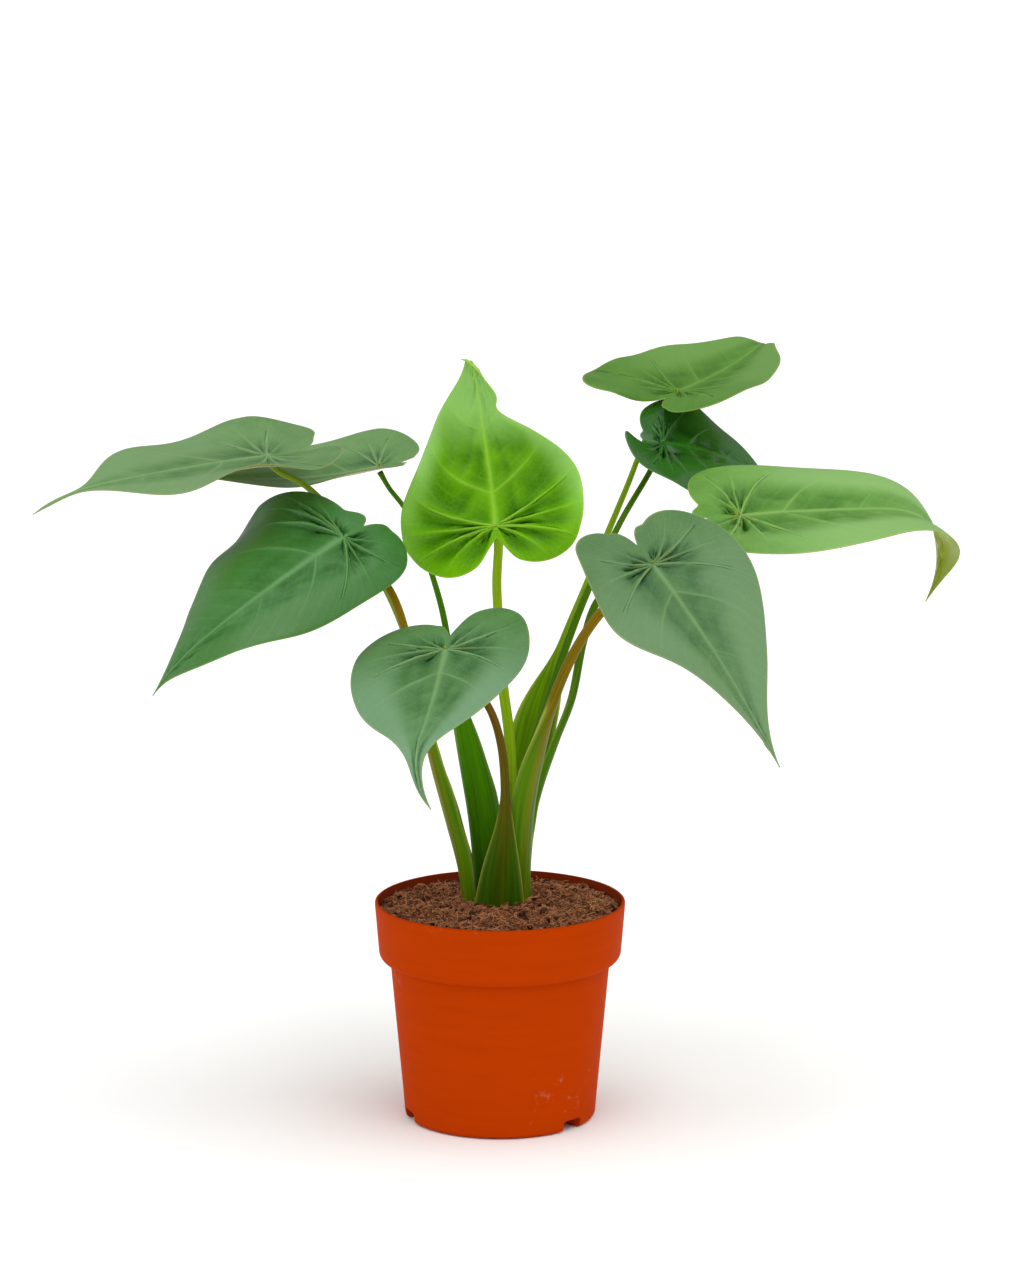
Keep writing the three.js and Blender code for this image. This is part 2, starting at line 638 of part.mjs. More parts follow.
addPiece("pot", potGeometry(), potPlastic);
addPiece("soil", soilGeometry(), pottingMix);
addPiece("corm", cormGeometry(), cormSkin);
leaves.forEach((leaf, i) => {
  addPiece(`${leaf.name}_blade`, bladeGeometry(leaf), finish(leaf.colour, 0.4));
  addPiece(`${leaf.name}_stalk`, stalkGeometry(leaf), finish(stalkColours[i], 0.45));
});

export default plant;
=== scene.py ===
"""A potted Chinese taro with nine heart-shaped leaves, dressed over its fixed frame."""

import math

import bpy
import numpy as np
from bpy.props import FloatProperty, IntProperty, PointerProperty, StringProperty
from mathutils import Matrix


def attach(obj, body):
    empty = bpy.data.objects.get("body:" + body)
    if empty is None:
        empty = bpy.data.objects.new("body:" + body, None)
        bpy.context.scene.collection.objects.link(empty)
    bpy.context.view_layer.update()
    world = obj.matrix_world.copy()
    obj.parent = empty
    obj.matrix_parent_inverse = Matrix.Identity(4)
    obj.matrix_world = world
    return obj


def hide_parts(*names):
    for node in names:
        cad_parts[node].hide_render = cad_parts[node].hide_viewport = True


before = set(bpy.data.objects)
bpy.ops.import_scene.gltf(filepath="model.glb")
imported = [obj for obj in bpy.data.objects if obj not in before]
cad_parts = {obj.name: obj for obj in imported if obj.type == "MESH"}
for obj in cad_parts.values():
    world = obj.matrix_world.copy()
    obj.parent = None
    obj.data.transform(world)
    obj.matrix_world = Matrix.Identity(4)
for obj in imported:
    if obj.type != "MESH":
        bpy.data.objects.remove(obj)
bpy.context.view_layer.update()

bl_info = {
    "name": "Potted Chinese Taro",
    "version": (1, 0, 0),
    "blender": (4, 5, 0),
    "location": "View3D > Sidebar > Plant",
    "description": "Builds a Chinese taro in a nursery pot, leaf by leaf",
    "category": "Object",
}

MM = 0.001

# Pot, in millimetres, as in the frame
POT_HEIGHT = 107
POT_RIM_RADIUS = 61
COLLAR_BOTTOM_Z = 78
COLLAR_BOTTOM_RADIUS = 53.4
COLLAR_SHOULDER = 4.5
FOOT_RADIUS = 44
FOOT_CORNER = 2.5
FOOT_RING_WIDTH = 5
POT_WALL = 1.4
UNDER_RECESS = 3.5
CENTRE_PAD_RADIUS = 14
DRAIN_HOLES = 8
DRAIN_HOLE_RADIUS = 3.5
DRAIN_CIRCLE_RADIUS = 31
NOTCHES = 3
NOTCH_WIDTH = 12.5
NOTCH_HEIGHT = 5.5
FIRST_NOTCH_ANGLE = -41
POT_INSIDE = [(59, 107), (56.8, 83.5), (52, 79.5), (44.6, 8), (42.5, UNDER_RECESS + POT_WALL)]

# Soil
SOIL_EDGE_Z = 102.5
SOIL_MOUND = 3
SOIL_ROUGHNESS = 0.7
SOIL_GAP = 0.4
CROWN_X, CROWN_Y = 0, 3.5
MOSS_X, MOSS_Y = 46, 9

# Blade: half outline of a leaf one unit long, from the tip round the lobe to the notch
HALF_OUTLINE = [
    (1, 0), (0.94, 0.012), (0.87, 0.036), (0.78, 0.085), (0.66, 0.165), (0.52, 0.262), (0.37, 0.352),
    (0.21, 0.415), (0.05, 0.44), (-0.08, 0.425), (-0.19, 0.36), (-0.26, 0.26), (-0.275, 0.16),
    (-0.235, 0.075), (-0.165, 0.028), (-0.1, 0),
]
HALF_WIDTH = 0.44
LOBE_REACH = 0.28
LOBE_START = -0.1
SEAM_WIDTH = 0.1
VEIN_SLANT = 0.9
VEIN_BOW = 0.3
NICK_PLACE = 0.62
NICK_WIDTH = 0.07
MIDRIB_STEPS = 120
BLADE_HALF_THICKNESS = 0.35
VEIN_RISE = 0.3
MIDRIB_RISE = 0.4
PUCKER_RISE = 0.85
RIM_BULGE = 0.25
# The length of blade that relief depths are given for
USUAL_LENGTH = 110

# Where the main side veins meet the margin, from the tip (0) to the notch (1), and how strong each is
MAIN_VEINS = (0.287, 0.365, 0.45, 0.535, 0.643, 0.745)
VEIN_STRENGTH = (0.3, 0.75, 1, 0.6, 0.9, 0.4)
MARGIN_ROWS = 110
VEIN_COLUMNS = 30

# Stalk
STALK_SIDES = 28
STALK_RINGS = 110
STALK_FOOT_Z = 90.4
SHEATH_THICKNESS = 1.3
SHEATH_WAVE = 5.5
RIDGE_WIDTH = 2.8
TOP_FLARE = 0.25
# How far below the blade the stalk ends and its neck starts, and how much the neck leans to the path
STALK_TOP = 2.3
HUB_NECK = 5
NECK_LEAN = 0.3

# What most leaves share, among them how strongly painted light lies on the tip
USUAL_LEAF = dict(
    notch=1, spread=(0, 0), nick=(0, 0), droop_from=0.6, waves=1.5, quilt_reach=0.4, tip_painted_light=0.3,
)

# Every leaf, with lengths in mm and angles in degrees. Pairs are for its left and right half.
# The sheath has its half width, bend, how far up it stays full and reaches, and its share of that width
# at the foot. The rod has its radii at the foot and the top.
LEAVES = [
    dict(
        USUAL_LEAF, name="leaf_1", tone="sheen", stalk="pale",
        hub=(-111, 6, 324), heading=196, pitch=-5, roll=8, length=124,
        width=(1.04, 1.04), lobes=(0.9, 0.85), fullness=0, taper=(0.85, 0.85),
        arch=5, droop=14, sideways=31, fold=(-8, 8), cup=-10, twist=-14,
        lobes_down=-3, lift=(3.5, 5), wave=4.6, wave_phase=(-0.05, 0.32),
        quilt=0.7,
        path=[(-13.5, 10, 104), (-18, 11, 126), (-26, 12, 154), (-37, 13, 196), (-47, 13, 240),
              (-68, 10, 281), (-94, 8, 310)],
        faces=140, sheath=(5, 55, 0.18, 0.5, 0.6), rod=(2.7, 1.5),
    ),
    dict(
        USUAL_LEAF, name="leaf_2", tone="sheen", stalk="dark",
        hub=(-59, 45, 312), heading=183, pitch=-13, roll=-5, length=89,
        width=(1.04, 0.98), lobes=(0.5, 0.85), fullness=0.02, taper=(0.05, 0.05),
        arch=-23, droop=4, sideways=0, fold=(12, 10), cup=-5, twist=-13,
        lobes_down=11, lift=(-1.5, -1), wave=1.4, wave_phase=(-0.05, 0.32),
        quilt=0.4,
        path=[(-7.5, 7.3, 104), (-8.3, 9.2, 126), (-11, 13, 150), (-15, 18, 172), (-22, 26, 206),
              (-29, 34, 247), (-45, 42, 290)],
        faces=125, sheath=(11, 60, 0.24, 0.6, 0.6), rod=(2.6, 1.2),
    ),
    dict(
        USUAL_LEAF, name="leaf_3", tone="mid", stalk="olive",
        hub=(-73, -50, 294.5), heading=218, pitch=-22, roll=-45, length=124,
        width=(0.58, 1.22), lobes=(0.95, 0.45), fullness=0.12, taper=(-0.5, -0.5),
        arch=34, droop=38, sideways=-2, fold=(2, -10), cup=45, twist=36,
        lobes_down=26, lift=(-5.5, -3), wave=5.4, wave_phase=(0.2, 0.57),
        quilt=2.2,
        path=[(-15.5, 1, 104), (-18, -1, 122), (-24, -4, 146), (-31, -11, 176), (-40, -25, 224),
              (-52, -40, 268)],
        faces=215, sheath=(7, 55, 0.25, 0.65, 0.6), rod=(2.8, 1.8),
    ),
    dict(
        USUAL_LEAF, name="leaf_4", tone="young", stalk="young",
        hub=(-2, -8, 292.5), heading=98, pitch=63, roll=-27, length=95,
        width=(1.204, 1.1), lobes=(0.79, 0.77), notch=0.58, spread=(0.095, 0.1), fullness=0.02,
        taper=(0.192, -0.058), nick=(0, 0.44),
        arch=-57, droop=-48, droop_from=0.7, sideways=-20, fold=(8, 13), cup=27, twist=-28,
        lobes_down=30, lift=(7.5, -5.6), wave=4.88, waves=1.52, wave_phase=(0.03, 0.348),
        quilt=3.5, quilt_reach=0.8, tip_painted_light=0.9,
        path=[(-0.8, 4.5, 104), (0.5, 4, 130), (5, 2.5, 160), (4.5, 4, 187), (1.6, 5.5, 211),
              (0, 4, 235), (-1.5, 3, 262)],
        faces=90, sheath=(3.4, 20, 0, 0.45, 1), rod=(3, 2.2),
    ),
    dict(
        USUAL_LEAF, name="leaf_5", tone="cool", stalk="brown",
        hub=(-25, -78, 246.5), heading=-98, pitch=-26, roll=18, length=107,
        width=(0.84, 0.94), lobes=(1.25, 0.9), fullness=0.04, taper=(0.6, 0.6),
        arch=-6, droop=103, sideways=-11, fold=(-2, 18), cup=22, twist=8,
        lobes_down=15, lift=(0, -2.5), wave=1.8, wave_phase=(-0.4, -0.03),
        quilt=2.4, quilt_reach=0.5,
        path=[(-0.3, -10.5, 104), (0.6, -12, 124), (2.2, -16, 147), (2.5, -22, 169), (0.5, -33, 192),
              (-5, -50, 213), (-14, -66, 228)],
        faces=-90, sheath=(14.5, 50, 0, 0.44, 1), rod=(2.6, 1.7),
    ),
    dict(
        USUAL_LEAF, name="leaf_6", tone="satin", stalk="olive",
        hub=(71, -74, 286), heading=-34, pitch=-46, roll=5, length=113,
        width=(0.94, 1.16), lobes=(0.7, 0.8), fullness=0.12, taper=(0.1, 0.1),
        arch=7, droop=-2, sideways=-10, fold=(19, 8), cup=7, twist=-14,
        lobes_down=6, lift=(1, -4), wave=4, wave_phase=(0, 0.37),
        quilt=2.3,
        path=[(10.5, -0.5, 104), (11.3, -5, 127), (13, -11, 152), (16.5, -18.5, 176), (23, -29, 205),
              (35.5, -43, 239), (49, -57, 262)],
        faces=-42, sheath=(10.2, 50, 0.3, 0.62, 0.8), rod=(3.3, 2.2),
    ),
    dict(
        USUAL_LEAF, name="leaf_7", tone="grass", stalk="lime",
        hub=(88.5, 106, 339.5), heading=47, pitch=8.7, roll=10.3, length=96,
        width=(1.02, 1), lobes=(1.42, 0.8), fullness=0.01, taper=(-0.093, 0.395),
        arch=-12.2, droop=118.5, droop_from=0.645, sideways=25, fold=(7.4, 17.9), cup=3.7, twist=0.5,
        lobes_down=20, lift=(10.4, -2.8), wave=-0.81, waves=2.63, wave_phase=(-0.196, -0.355),
        quilt=1.5,
        path=[(7, 14, 104), (8.5, 15, 127), (11.5, 17, 154), (18, 23, 184), (27, 36, 217),
              (42, 56, 251), (61.5, 84, 293), (77, 106, 325)],
        faces=62, sheath=(13, 45, 0.34, 0.5, 0.35), rod=(2.7, 1.3),
    ),
    dict(
        USUAL_LEAF, name="leaf_8", tone="deep", stalk="green",
        hub=(80, 76, 318.5), heading=8, pitch=-7, roll=22, length=71,
        width=(1.02, 1.08), lobes=(0.55, 1.15), fullness=0.04, taper=(0.3, 0.3),
        arch=38, droop=15, sideways=-1, fold=(19, 3), cup=16, twist=-2,
        lobes_down=-1, lift=(2.5, 8.5), wave=3.4, wave_phase=(0, 0.37),
        quilt=2.4,
        path=[(7, 7, 104), (8, 7.5, 130), (11, 9, 158), (17.5, 13, 184), (28.5, 24, 217),
              (41.5, 35, 250), (58.5, 53, 283)],
        faces=60, sheath=(4, 35, 0, 0.45, 1), rod=(2.6, 1.4),
    ),
    dict(
        USUAL_LEAF, name="leaf_9", tone="fresh", stalk="green",
        hub=(115, 2, 295.5), heading=10, pitch=3, roll=19, length=144,
        width=(0.86, 0.82), lobes=(0.5, 1), fullness=0.1, taper=(-0.5, -0.5),
        arch=12, droop=105, droop_from=0.45, sideways=12, fold=(6, 20), cup=25, twist=4,
        lobes_down=-1, lift=(3, 0), wave=2.4, wave_phase=(0.2, 0.57),
        quilt=2.3, quilt_reach=0.45,
        path=[(13, 10.5, 104), (13.6, 10.6, 126), (17.2, 9.6, 152), (27, 8, 184), (34.5, 7, 205),
              (40.5, 6.5, 235), (48, 6, 255), (70, 4, 273), (98, 2.5, 284)],
        faces=-30, sheath=(3.2, 40, 0.3, 0.6, 0.8), rod=(2.6, 1.6),
    ),
]

# Leaf colours: blade, painted shade for the hollows, vein, painted light for the margin and tip, rim, and the
# last for the underside; then how rough the skin is and how much it shines
LEAF_TONE_PARTS = ("blade", "shaded_hollow", "vein", "painted_light", "rim", "under", "gloss", "shine")
LEAF_TONES = {
    # In the mid tone the painted light is darker than the blade, a painted shade.
    # The sheen, satin and cool blades hold a grey painted sheen, and the deep tone holds painted shade.
    "grass": ("#4f8026", "#2a5a10", "#72a044", "#62903c", "#8aa040", "#7f9a1c", 0.36, 0.22),
    "fresh": ("#5f9238", "#2f6414", "#96c068", "#84b462", "#98b048", "#909a00", 0.3, 0.22),
    "sheen": ("#60884e", "#365f30", "#8cae76", "#6c925a", "#8f9c60", "#8a8a16", 0.36, 0.2),
    "satin": ("#547a48", "#305a34", "#80a26c", "#64885a", "#8f9c60", "#7c8a20", 0.36, 0.2),
    "cool": ("#54804a", "#2c5c2a", "#84aa70", "#6e9470", "#8a9c58", "#7f9a3c", 0.36, 0.24),
    "mid": ("#3c7434", "#245618", "#6a9a5c", "#366c24", "#7c9c34", "#6f9a2c", 0.34, 0.26),
    "deep": ("#205c10", "#062c04", "#36702a", "#2a601c", "#4f8a34", "#4f8a2c", 0.2, 0.4),
    "young": ("#6eb004", "#387600", "#a4d448", "#98d06c", "#98c424", "#94c03c", 0.24, 0.1),
}

# Stalk colours: the sheath, the ridge along its back with the upper rod, and the thin pale margin
STALK_TONE_PARTS = ("sheath", "ridge", "rim")
STALK_TONES = {
    "green": ("#4a7800", "#466c06", "#a4b840"),
    "dark": ("#4c8602", "#487c04", "#7c9c54"),
    "pale": ("#5c8404", "#7a9020", "#b4b84c"),
    "young": ("#74a004", "#8cae10", "#b8cc54"),
    "olive": ("#4e7c00", "#826800", "#a8b44c"),
    "brown": ("#365c00", "#644a00", "#a0a838"),
    "lime": ("#648e04", "#7a9c10", "#b4c44c"),
}

# Stage
SKY_AXIS = (-0.15, -0.3, 0.94)
SUN_SOFTNESS = 55
SUN_TILT = 22
SUN_TURN = 22
FLOOR_RADIUS = 20000
FLOOR_Z = -0.3
LENS_MM, SENSOR_MM = 146.5, 36
TARGET_X, TARGET_Z = 5.8, 235.5


# Small helpers

def linear(code):
    """A colour given as sRGB hex, as the linear RGBA that a shader takes."""
    values = [int(code[i:i + 2], 16) / 255 for i in (1, 3, 5)]
    return tuple(v / 12.92 if v <= 0.04045 else ((v + 0.055) / 1.055) ** 2.4 for v in values) + (1.0,)


def node(tree, kind, inputs, out=0, **settings):
    """Adds a node with its settings and links, and gives back an output, or the node where out is None."""
    made = tree.nodes.new(kind if "Node" in kind else "ShaderNode" + kind)
    for key, value in settings.items():
        setattr(made, key, value)
    for key, value in inputs.items():
        if isinstance(value, bpy.types.NodeSocket):
            tree.links.new(value, made.inputs[key])
        else:
            made.inputs[key].default_value = value
    return made if out is None else made.outputs[out]


def blank_material(name):
    material = bpy.data.materials.new(name)
    material.use_nodes = True
    material.node_tree.nodes.clear()
    return material, material.node_tree


def finish_material(tree, inputs):
    shader = node(tree, "BsdfPrincipled", inputs)
    node(tree, "OutputMaterial", {0: shader}, out=None)


def mesh_object(name, points, faces, material):
    """A smooth-shaded object at the origin, from points in millimetres."""
    mesh = bpy.data.meshes.new(name)
    mesh.from_pydata((np.asarray(points) * MM).tolist(), [], [tuple(map(int, f)) for f in faces])
    mesh.validate()
    mesh.shade_smooth()
    mesh.materials.append(material)
    made = bpy.data.objects.new(name, mesh)
    bpy.context.scene.collection.objects.link(made)
    return made


def write_values(mesh, name, values):
    attribute = mesh.attributes.new(name, "FLOAT", "POINT")
    attribute.data.foreach_set("value", np.asarray(values, np.float32))


def write_uv(mesh, name, values):
    corners = np.zeros(len(mesh.loops), np.int32)
    mesh.loops.foreach_get("vertex_index", corners)
    layer = mesh.uv_layers.new(name=name)
    layer.data.foreach_set("uv", np.asarray(values, np.float32)[corners].ravel())


def plain_mesh(made):
    """Applies every modifier of an object for good."""
    bpy.context.view_layer.update()
    graph = bpy.context.evaluated_depsgraph_get()
    mesh = bpy.data.meshes.new_from_object(made.evaluated_get(graph))
    made.modifiers.clear()
    made.data = mesh


def settle(made, slot, *nodes):
    """Puts a finished piece on the plant's one body, in place of its frame nodes."""
    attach(made, "root")
    if nodes:
        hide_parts(*nodes)


def ease(t):
    t = np.clip(t, 0, 1)
    return t * t * (3 - 2 * t)


def band(low, high, count):
    """Faces between two rings of points, given by the number of each ring's first point."""
    return [(low + j, high + j, high + (j + 1) % count, low + (j + 1) % count) for j in range(count)]


def lerp(a, b, t):
    return a + (b - a) * t


def unit(vectors):
    return vectors / np.maximum(np.linalg.norm(vectors, axis=-1, keepdims=True), 1e-12)


# The blade

def outline_points(t):
    """The half outline through its points, at parameters from the tip (0) to the notch (1)."""
    points = np.array(HALF_OUTLINE, float)
    last = len(points) - 1
    place = np.clip(np.asarray(t, float), 0, 1) * last
    i = np.minimum(place.astype(int), last - 1)
    f = (place - i)[:, None]
    p0 = points[np.maximum(i - 1, 0)]
    p1 = points[i]
    p2 = points[i + 1]
    p3 = points[np.minimum(i + 2, last)]
    v0 = (p2 - p0) / 2
    v1 = (p3 - p1) / 2
    return (2 * p1 - 2 * p2 + v0 + v1) * f ** 3 + (-3 * p1 + 3 * p2 - 2 * v0 - v1) * f ** 2 + v0 * f + p1


def margin_points(leaf, side, t):
    points = outline_points(t)
    u = points[:, 0]
    v = np.maximum(points[:, 1], 0)
    narrowed = 1 - leaf["taper"][side] * np.exp(-((u - 0.8) / 0.17) ** 2)
    filled = leaf["fullness"] * np.exp(-((u - 0.45) / 0.22) ** 2)
    nicked = 1 - leaf["nick"][side] * np.exp(-((u - NICK_PLACE) / NICK_WIDTH) ** 2)
    across = (v * (narrowed + filled) + leaf["spread"][side] * np.maximum(LOBE_START - u, 0)) * nicked
    lobe = lerp(leaf["notch"], leaf["lobes"][side], ease(across / SEAM_WIDTH))
    return np.where(u < 0, u * lobe, u), across


def midrib_stations(leaf, u):
    """Place, slope and turn of the bent midrib at each u."""
    s = np.linspace(0, 1, MIDRIB_STEPS + 1)
    start = leaf["droop_from"]
    down = np.radians(leaf["arch"] * s + leaf["droop"] * ease((s - start) / (1 - start)))
    turn = np.radians(leaf["sideways"] * s * s)
    along = np.stack([np.cos(down) * np.cos(turn), np.cos(down) * np.sin(turn), -np.sin(down)], 1)
    steps = (along[1:] + along[:-1]) / 2 * leaf["length"] / MIDRIB_STEPS
    places = np.vstack([[0, 0, 0], np.cumsum(steps, 0)])
    forward = np.clip(u, 0, 1)
    place = np.stack([np.interp(forward, s, places[:, k]) for k in range(3)], 1)
    slope = np.interp(forward, s, down)
    bend = np.interp(forward, s, turn)
    curve = math.radians(leaf["lobes_down"] or 0.1) / LOBE_REACH
    angle = -np.minimum(u, 0) * curve
    behind = u < 0
    place[behind, 0] = (-np.sin(angle) / curve * leaf["length"])[behind]
    place[behind, 1] = 0
    place[behind, 2] = (-(1 - np.cos(angle)) / curve * leaf["length"])[behind]
    return place, np.where(behind, -angle, slope), np.where(behind, 0, bend)


def blade_axes(leaf):
    h, p, r = (math.radians(leaf[key]) for key in ("heading", "pitch", "roll"))
    along = np.array([math.cos(h) * math.cos(p), math.sin(h) * math.cos(p), math.sin(p)])
    level = np.array([-math.sin(h), math.cos(h), 0])
    raised = np.cross(along, level)
    left = level * math.cos(r) + raised * math.sin(r)
    return along, left, np.cross(along, left)


def blade_surface(leaf, u, v, side):
    """Points of the blade's middle surface. Each point's side is 0 in the left half and 1 in the right."""
    place, down, turn = midrib_stations(leaf, u)
    width = np.array(leaf["width"], float)[side]
    fold = np.radians(np.array(leaf["fold"], float))[side]
    lift = np.array(leaf["lift"], float)[side]
    span = HALF_WIDTH * leaf["length"]
    cup = math.radians(leaf["cup"] or 0.1) / span
    across = np.abs(v) * leaf["length"] * width
    here = fold - cup * across
    reach = np.clip(across / span, 0, 1.2)
    lobe_lift = lift * ease(np.abs(v) / SEAM_WIDTH) * (np.minimum(u, 0) / LOBE_REACH) ** 2
    ripple = np.sin(2 * np.pi * (leaf["waves"] * u + np.array(leaf["wave_phase"], float)[side]))
    sideways = np.where(side == 0, 1, -1) * (np.sin(fold) - np.sin(here)) / cup
    upwards = (np.cos(here) - np.cos(fold)) / cup + lobe_lift + leaf["wave"] * reach ** 2 * ripple
    twist = math.radians(leaf["twist"]) * np.clip(u, 0, 1)
    y = sideways * np.cos(twist) - upwards * np.sin(twist)
    z = sideways * np.sin(twist) + upwards * np.cos(twist)
    tangent = np.stack([np.cos(down) * np.cos(turn), np.cos(down) * np.sin(turn), -np.sin(down)], 1)
    beside = np.stack([-np.sin(turn), np.cos(turn), np.zeros_like(turn)], 1)
    local = place + beside * y[:, None] + np.cross(tangent, beside) * z[:, None]
    return np.array(leaf["hub"], float) + local @ np.array(blade_axes(leaf))


def vein_starts(leaf, t):
    """Where on the midrib the pairs of side veins start that end at the given margin places."""
    u, left = margin_points(leaf, 0, t)
    _, right = margin_points(leaf, 1, t)
    return np.maximum(0, u - VEIN_SLANT * (left + right) / 2)


def vein_places(start, margin_u, margin_v, c):
    """Points along the side veins that end at the given margin points."""
    bow_u = start + 0.5 * (margin_u - start) * (1 - VEIN_BOW)
    bow_v = 0.5 * margin_v * (1 + VEIN_BOW)
    a, b, d = (1 - c) ** 2, 2 * c * (1 - c), c * c
    return a * start + b * bow_u + d * margin_u, b * bow_v + d * margin_v


def margin_rows():
    """Evenly spread rows, with more of them close to each main vein so that its crest is sharp."""
    rows = set(np.round(np.linspace(0, 1, MARGIN_ROWS + 1), 5))
    for vein in MAIN_VEINS:
        rows |= {round(vein + k * 0.0022, 5) for k in range(-3, 4)}
    return np.array(sorted(rows))


def rumple(x, y):
    """Smooth uneven ripples between -1 and 1."""
    return (np.sin(x + 1.7 * np.sin(y * 1.3)) * np.cos(y * 1.9 - 0.6 * x)
            + 0.6 * np.sin(2.1 * x - 1.3 * y + 2 * np.sin(x * 0.7))) / 1.6


def vertex_normals(points, triangles):
    a, b, c = (points[triangles[:, k]] for k in range(3))
    flat = np.cross(b - a, c - a)
    total = np.zeros_like(points)
    for k in range(3):
        np.add.at(total, triangles[:, k], flat)
    return unit(total)


def half_blade(leaf, side, rows, columns):
    """One half's values, in rows from the tip round to the notch and columns out along the side veins."""
    t, c = np.meshgrid(rows, columns, indexing="ij")
    margin_u, margin_v = margin_points(leaf, side, rows)
    start = vein_starts(leaf, rows)[:, None]
    u, v = vein_places(start, margin_u[:, None], margin_v[:, None], c)
    step_u, step_v = np.gradient(u, rows, axis=0), np.gradient(v, rows, axis=0)
    along_u, along_v = np.gradient(u, columns, axis=1), np.gradient(v, columns, axis=1)
    length = np.hypot(along_u, along_v) + 1e-9
    spacing = np.abs(step_u * along_v - step_v * along_u) / length * leaf["length"]
    crest = np.zeros_like(u)
    thick = lerp(0.55, 0.25, c) * (leaf["length"] / USUAL_LENGTH) ** 0.5
    fade = 1 - 0.8 * ease((c - 0.3) / 0.6)
    for vein, strength in zip(MAIN_VEINS, VEIN_STRENGTH):
        distance = np.abs(t - vein) * spacing
        crest = np.maximum(crest, strength * fade * np.exp(-(distance / thick) ** 2))
    bounds = np.concatenate([[0.06], MAIN_VEINS, [0.93]])
    k = np.clip(np.searchsorted(bounds, t) - 1, 0, len(bounds) - 2)
    between = np.clip((t - bounds[k]) / (bounds[k + 1] - bounds[k]), 0, 1)
    reach = leaf["quilt_reach"]
    # The hollows between the side veins, which the blade dips into and which the material fills with painted
    # shade
    shaded_hollow = np.sin(np.pi * between) ** 0.8 * ease(c / 0.16) * (1 - ease((c - reach + 0.2) / 0.4))
    shaded_hollow = shaded_hollow * lerp(0.35, 1, np.exp(-(start / (0.5 * reach)) ** 2))
    pucker = rumple(t * 56, c * 8 + 3 * side) * ease(c / 0.1) * (1 - ease((c - 0.15) / 0.5)) * shaded_hollow ** 0.5
    midrib = np.exp(-(v * leaf["length"] / lerp(1.0, 0.3, np.clip(u, 0, 1))) ** 2) * (u > -0.02)
    midrib *= 1 - ease((u - 0.9) / 0.1)
    edge = (1 - c) * length * leaf["length"]
    # Painted light towards the margin beyond the quilting and towards the tip, mostly a paler painted sheen
    painted_light = ease((c - reach + 0.15) / 0.4) * ease((u + 0.15) / 0.5)
    painted_light = np.maximum(painted_light, leaf["tip_painted_light"] * ease((u - 0.35) / 0.3))
    return dict(u=u, v=v, crest=crest, shaded_hollow=shaded_hollow, midrib=midrib, edge=edge, row=t, column=c,
                pucker=pucker, painted_light=painted_light)


def blade_triangles(grid):
    """Both halves' triangles, facing up, without those that a shared point closes up."""
    found = []
    for side in (0, 1):
        a, b = grid[side, :-1, :-1].ravel(), grid[side, 1:, :-1].ravel()
        d, e = grid[side, :-1, 1:].ravel(), grid[side, 1:, 1:].ravel()
        pair = np.concatenate([np.stack([a, b, e], 1), np.stack([a, e, d], 1)])
        found.append(pair[:, ::-1] if side == 0 else pair)
    found = np.concatenate(found)
    a, b, c = found.T
    return found[(a != b) & (b != c) & (c != a)]


def blade_rim(grid):
    """The margin's points in order, once round the blade."""
    rim = np.concatenate([grid[0, :, -1], grid[1, ::-1, -1][1:-1]])
    return rim[np.r_[True, np.diff(rim) != 0]]


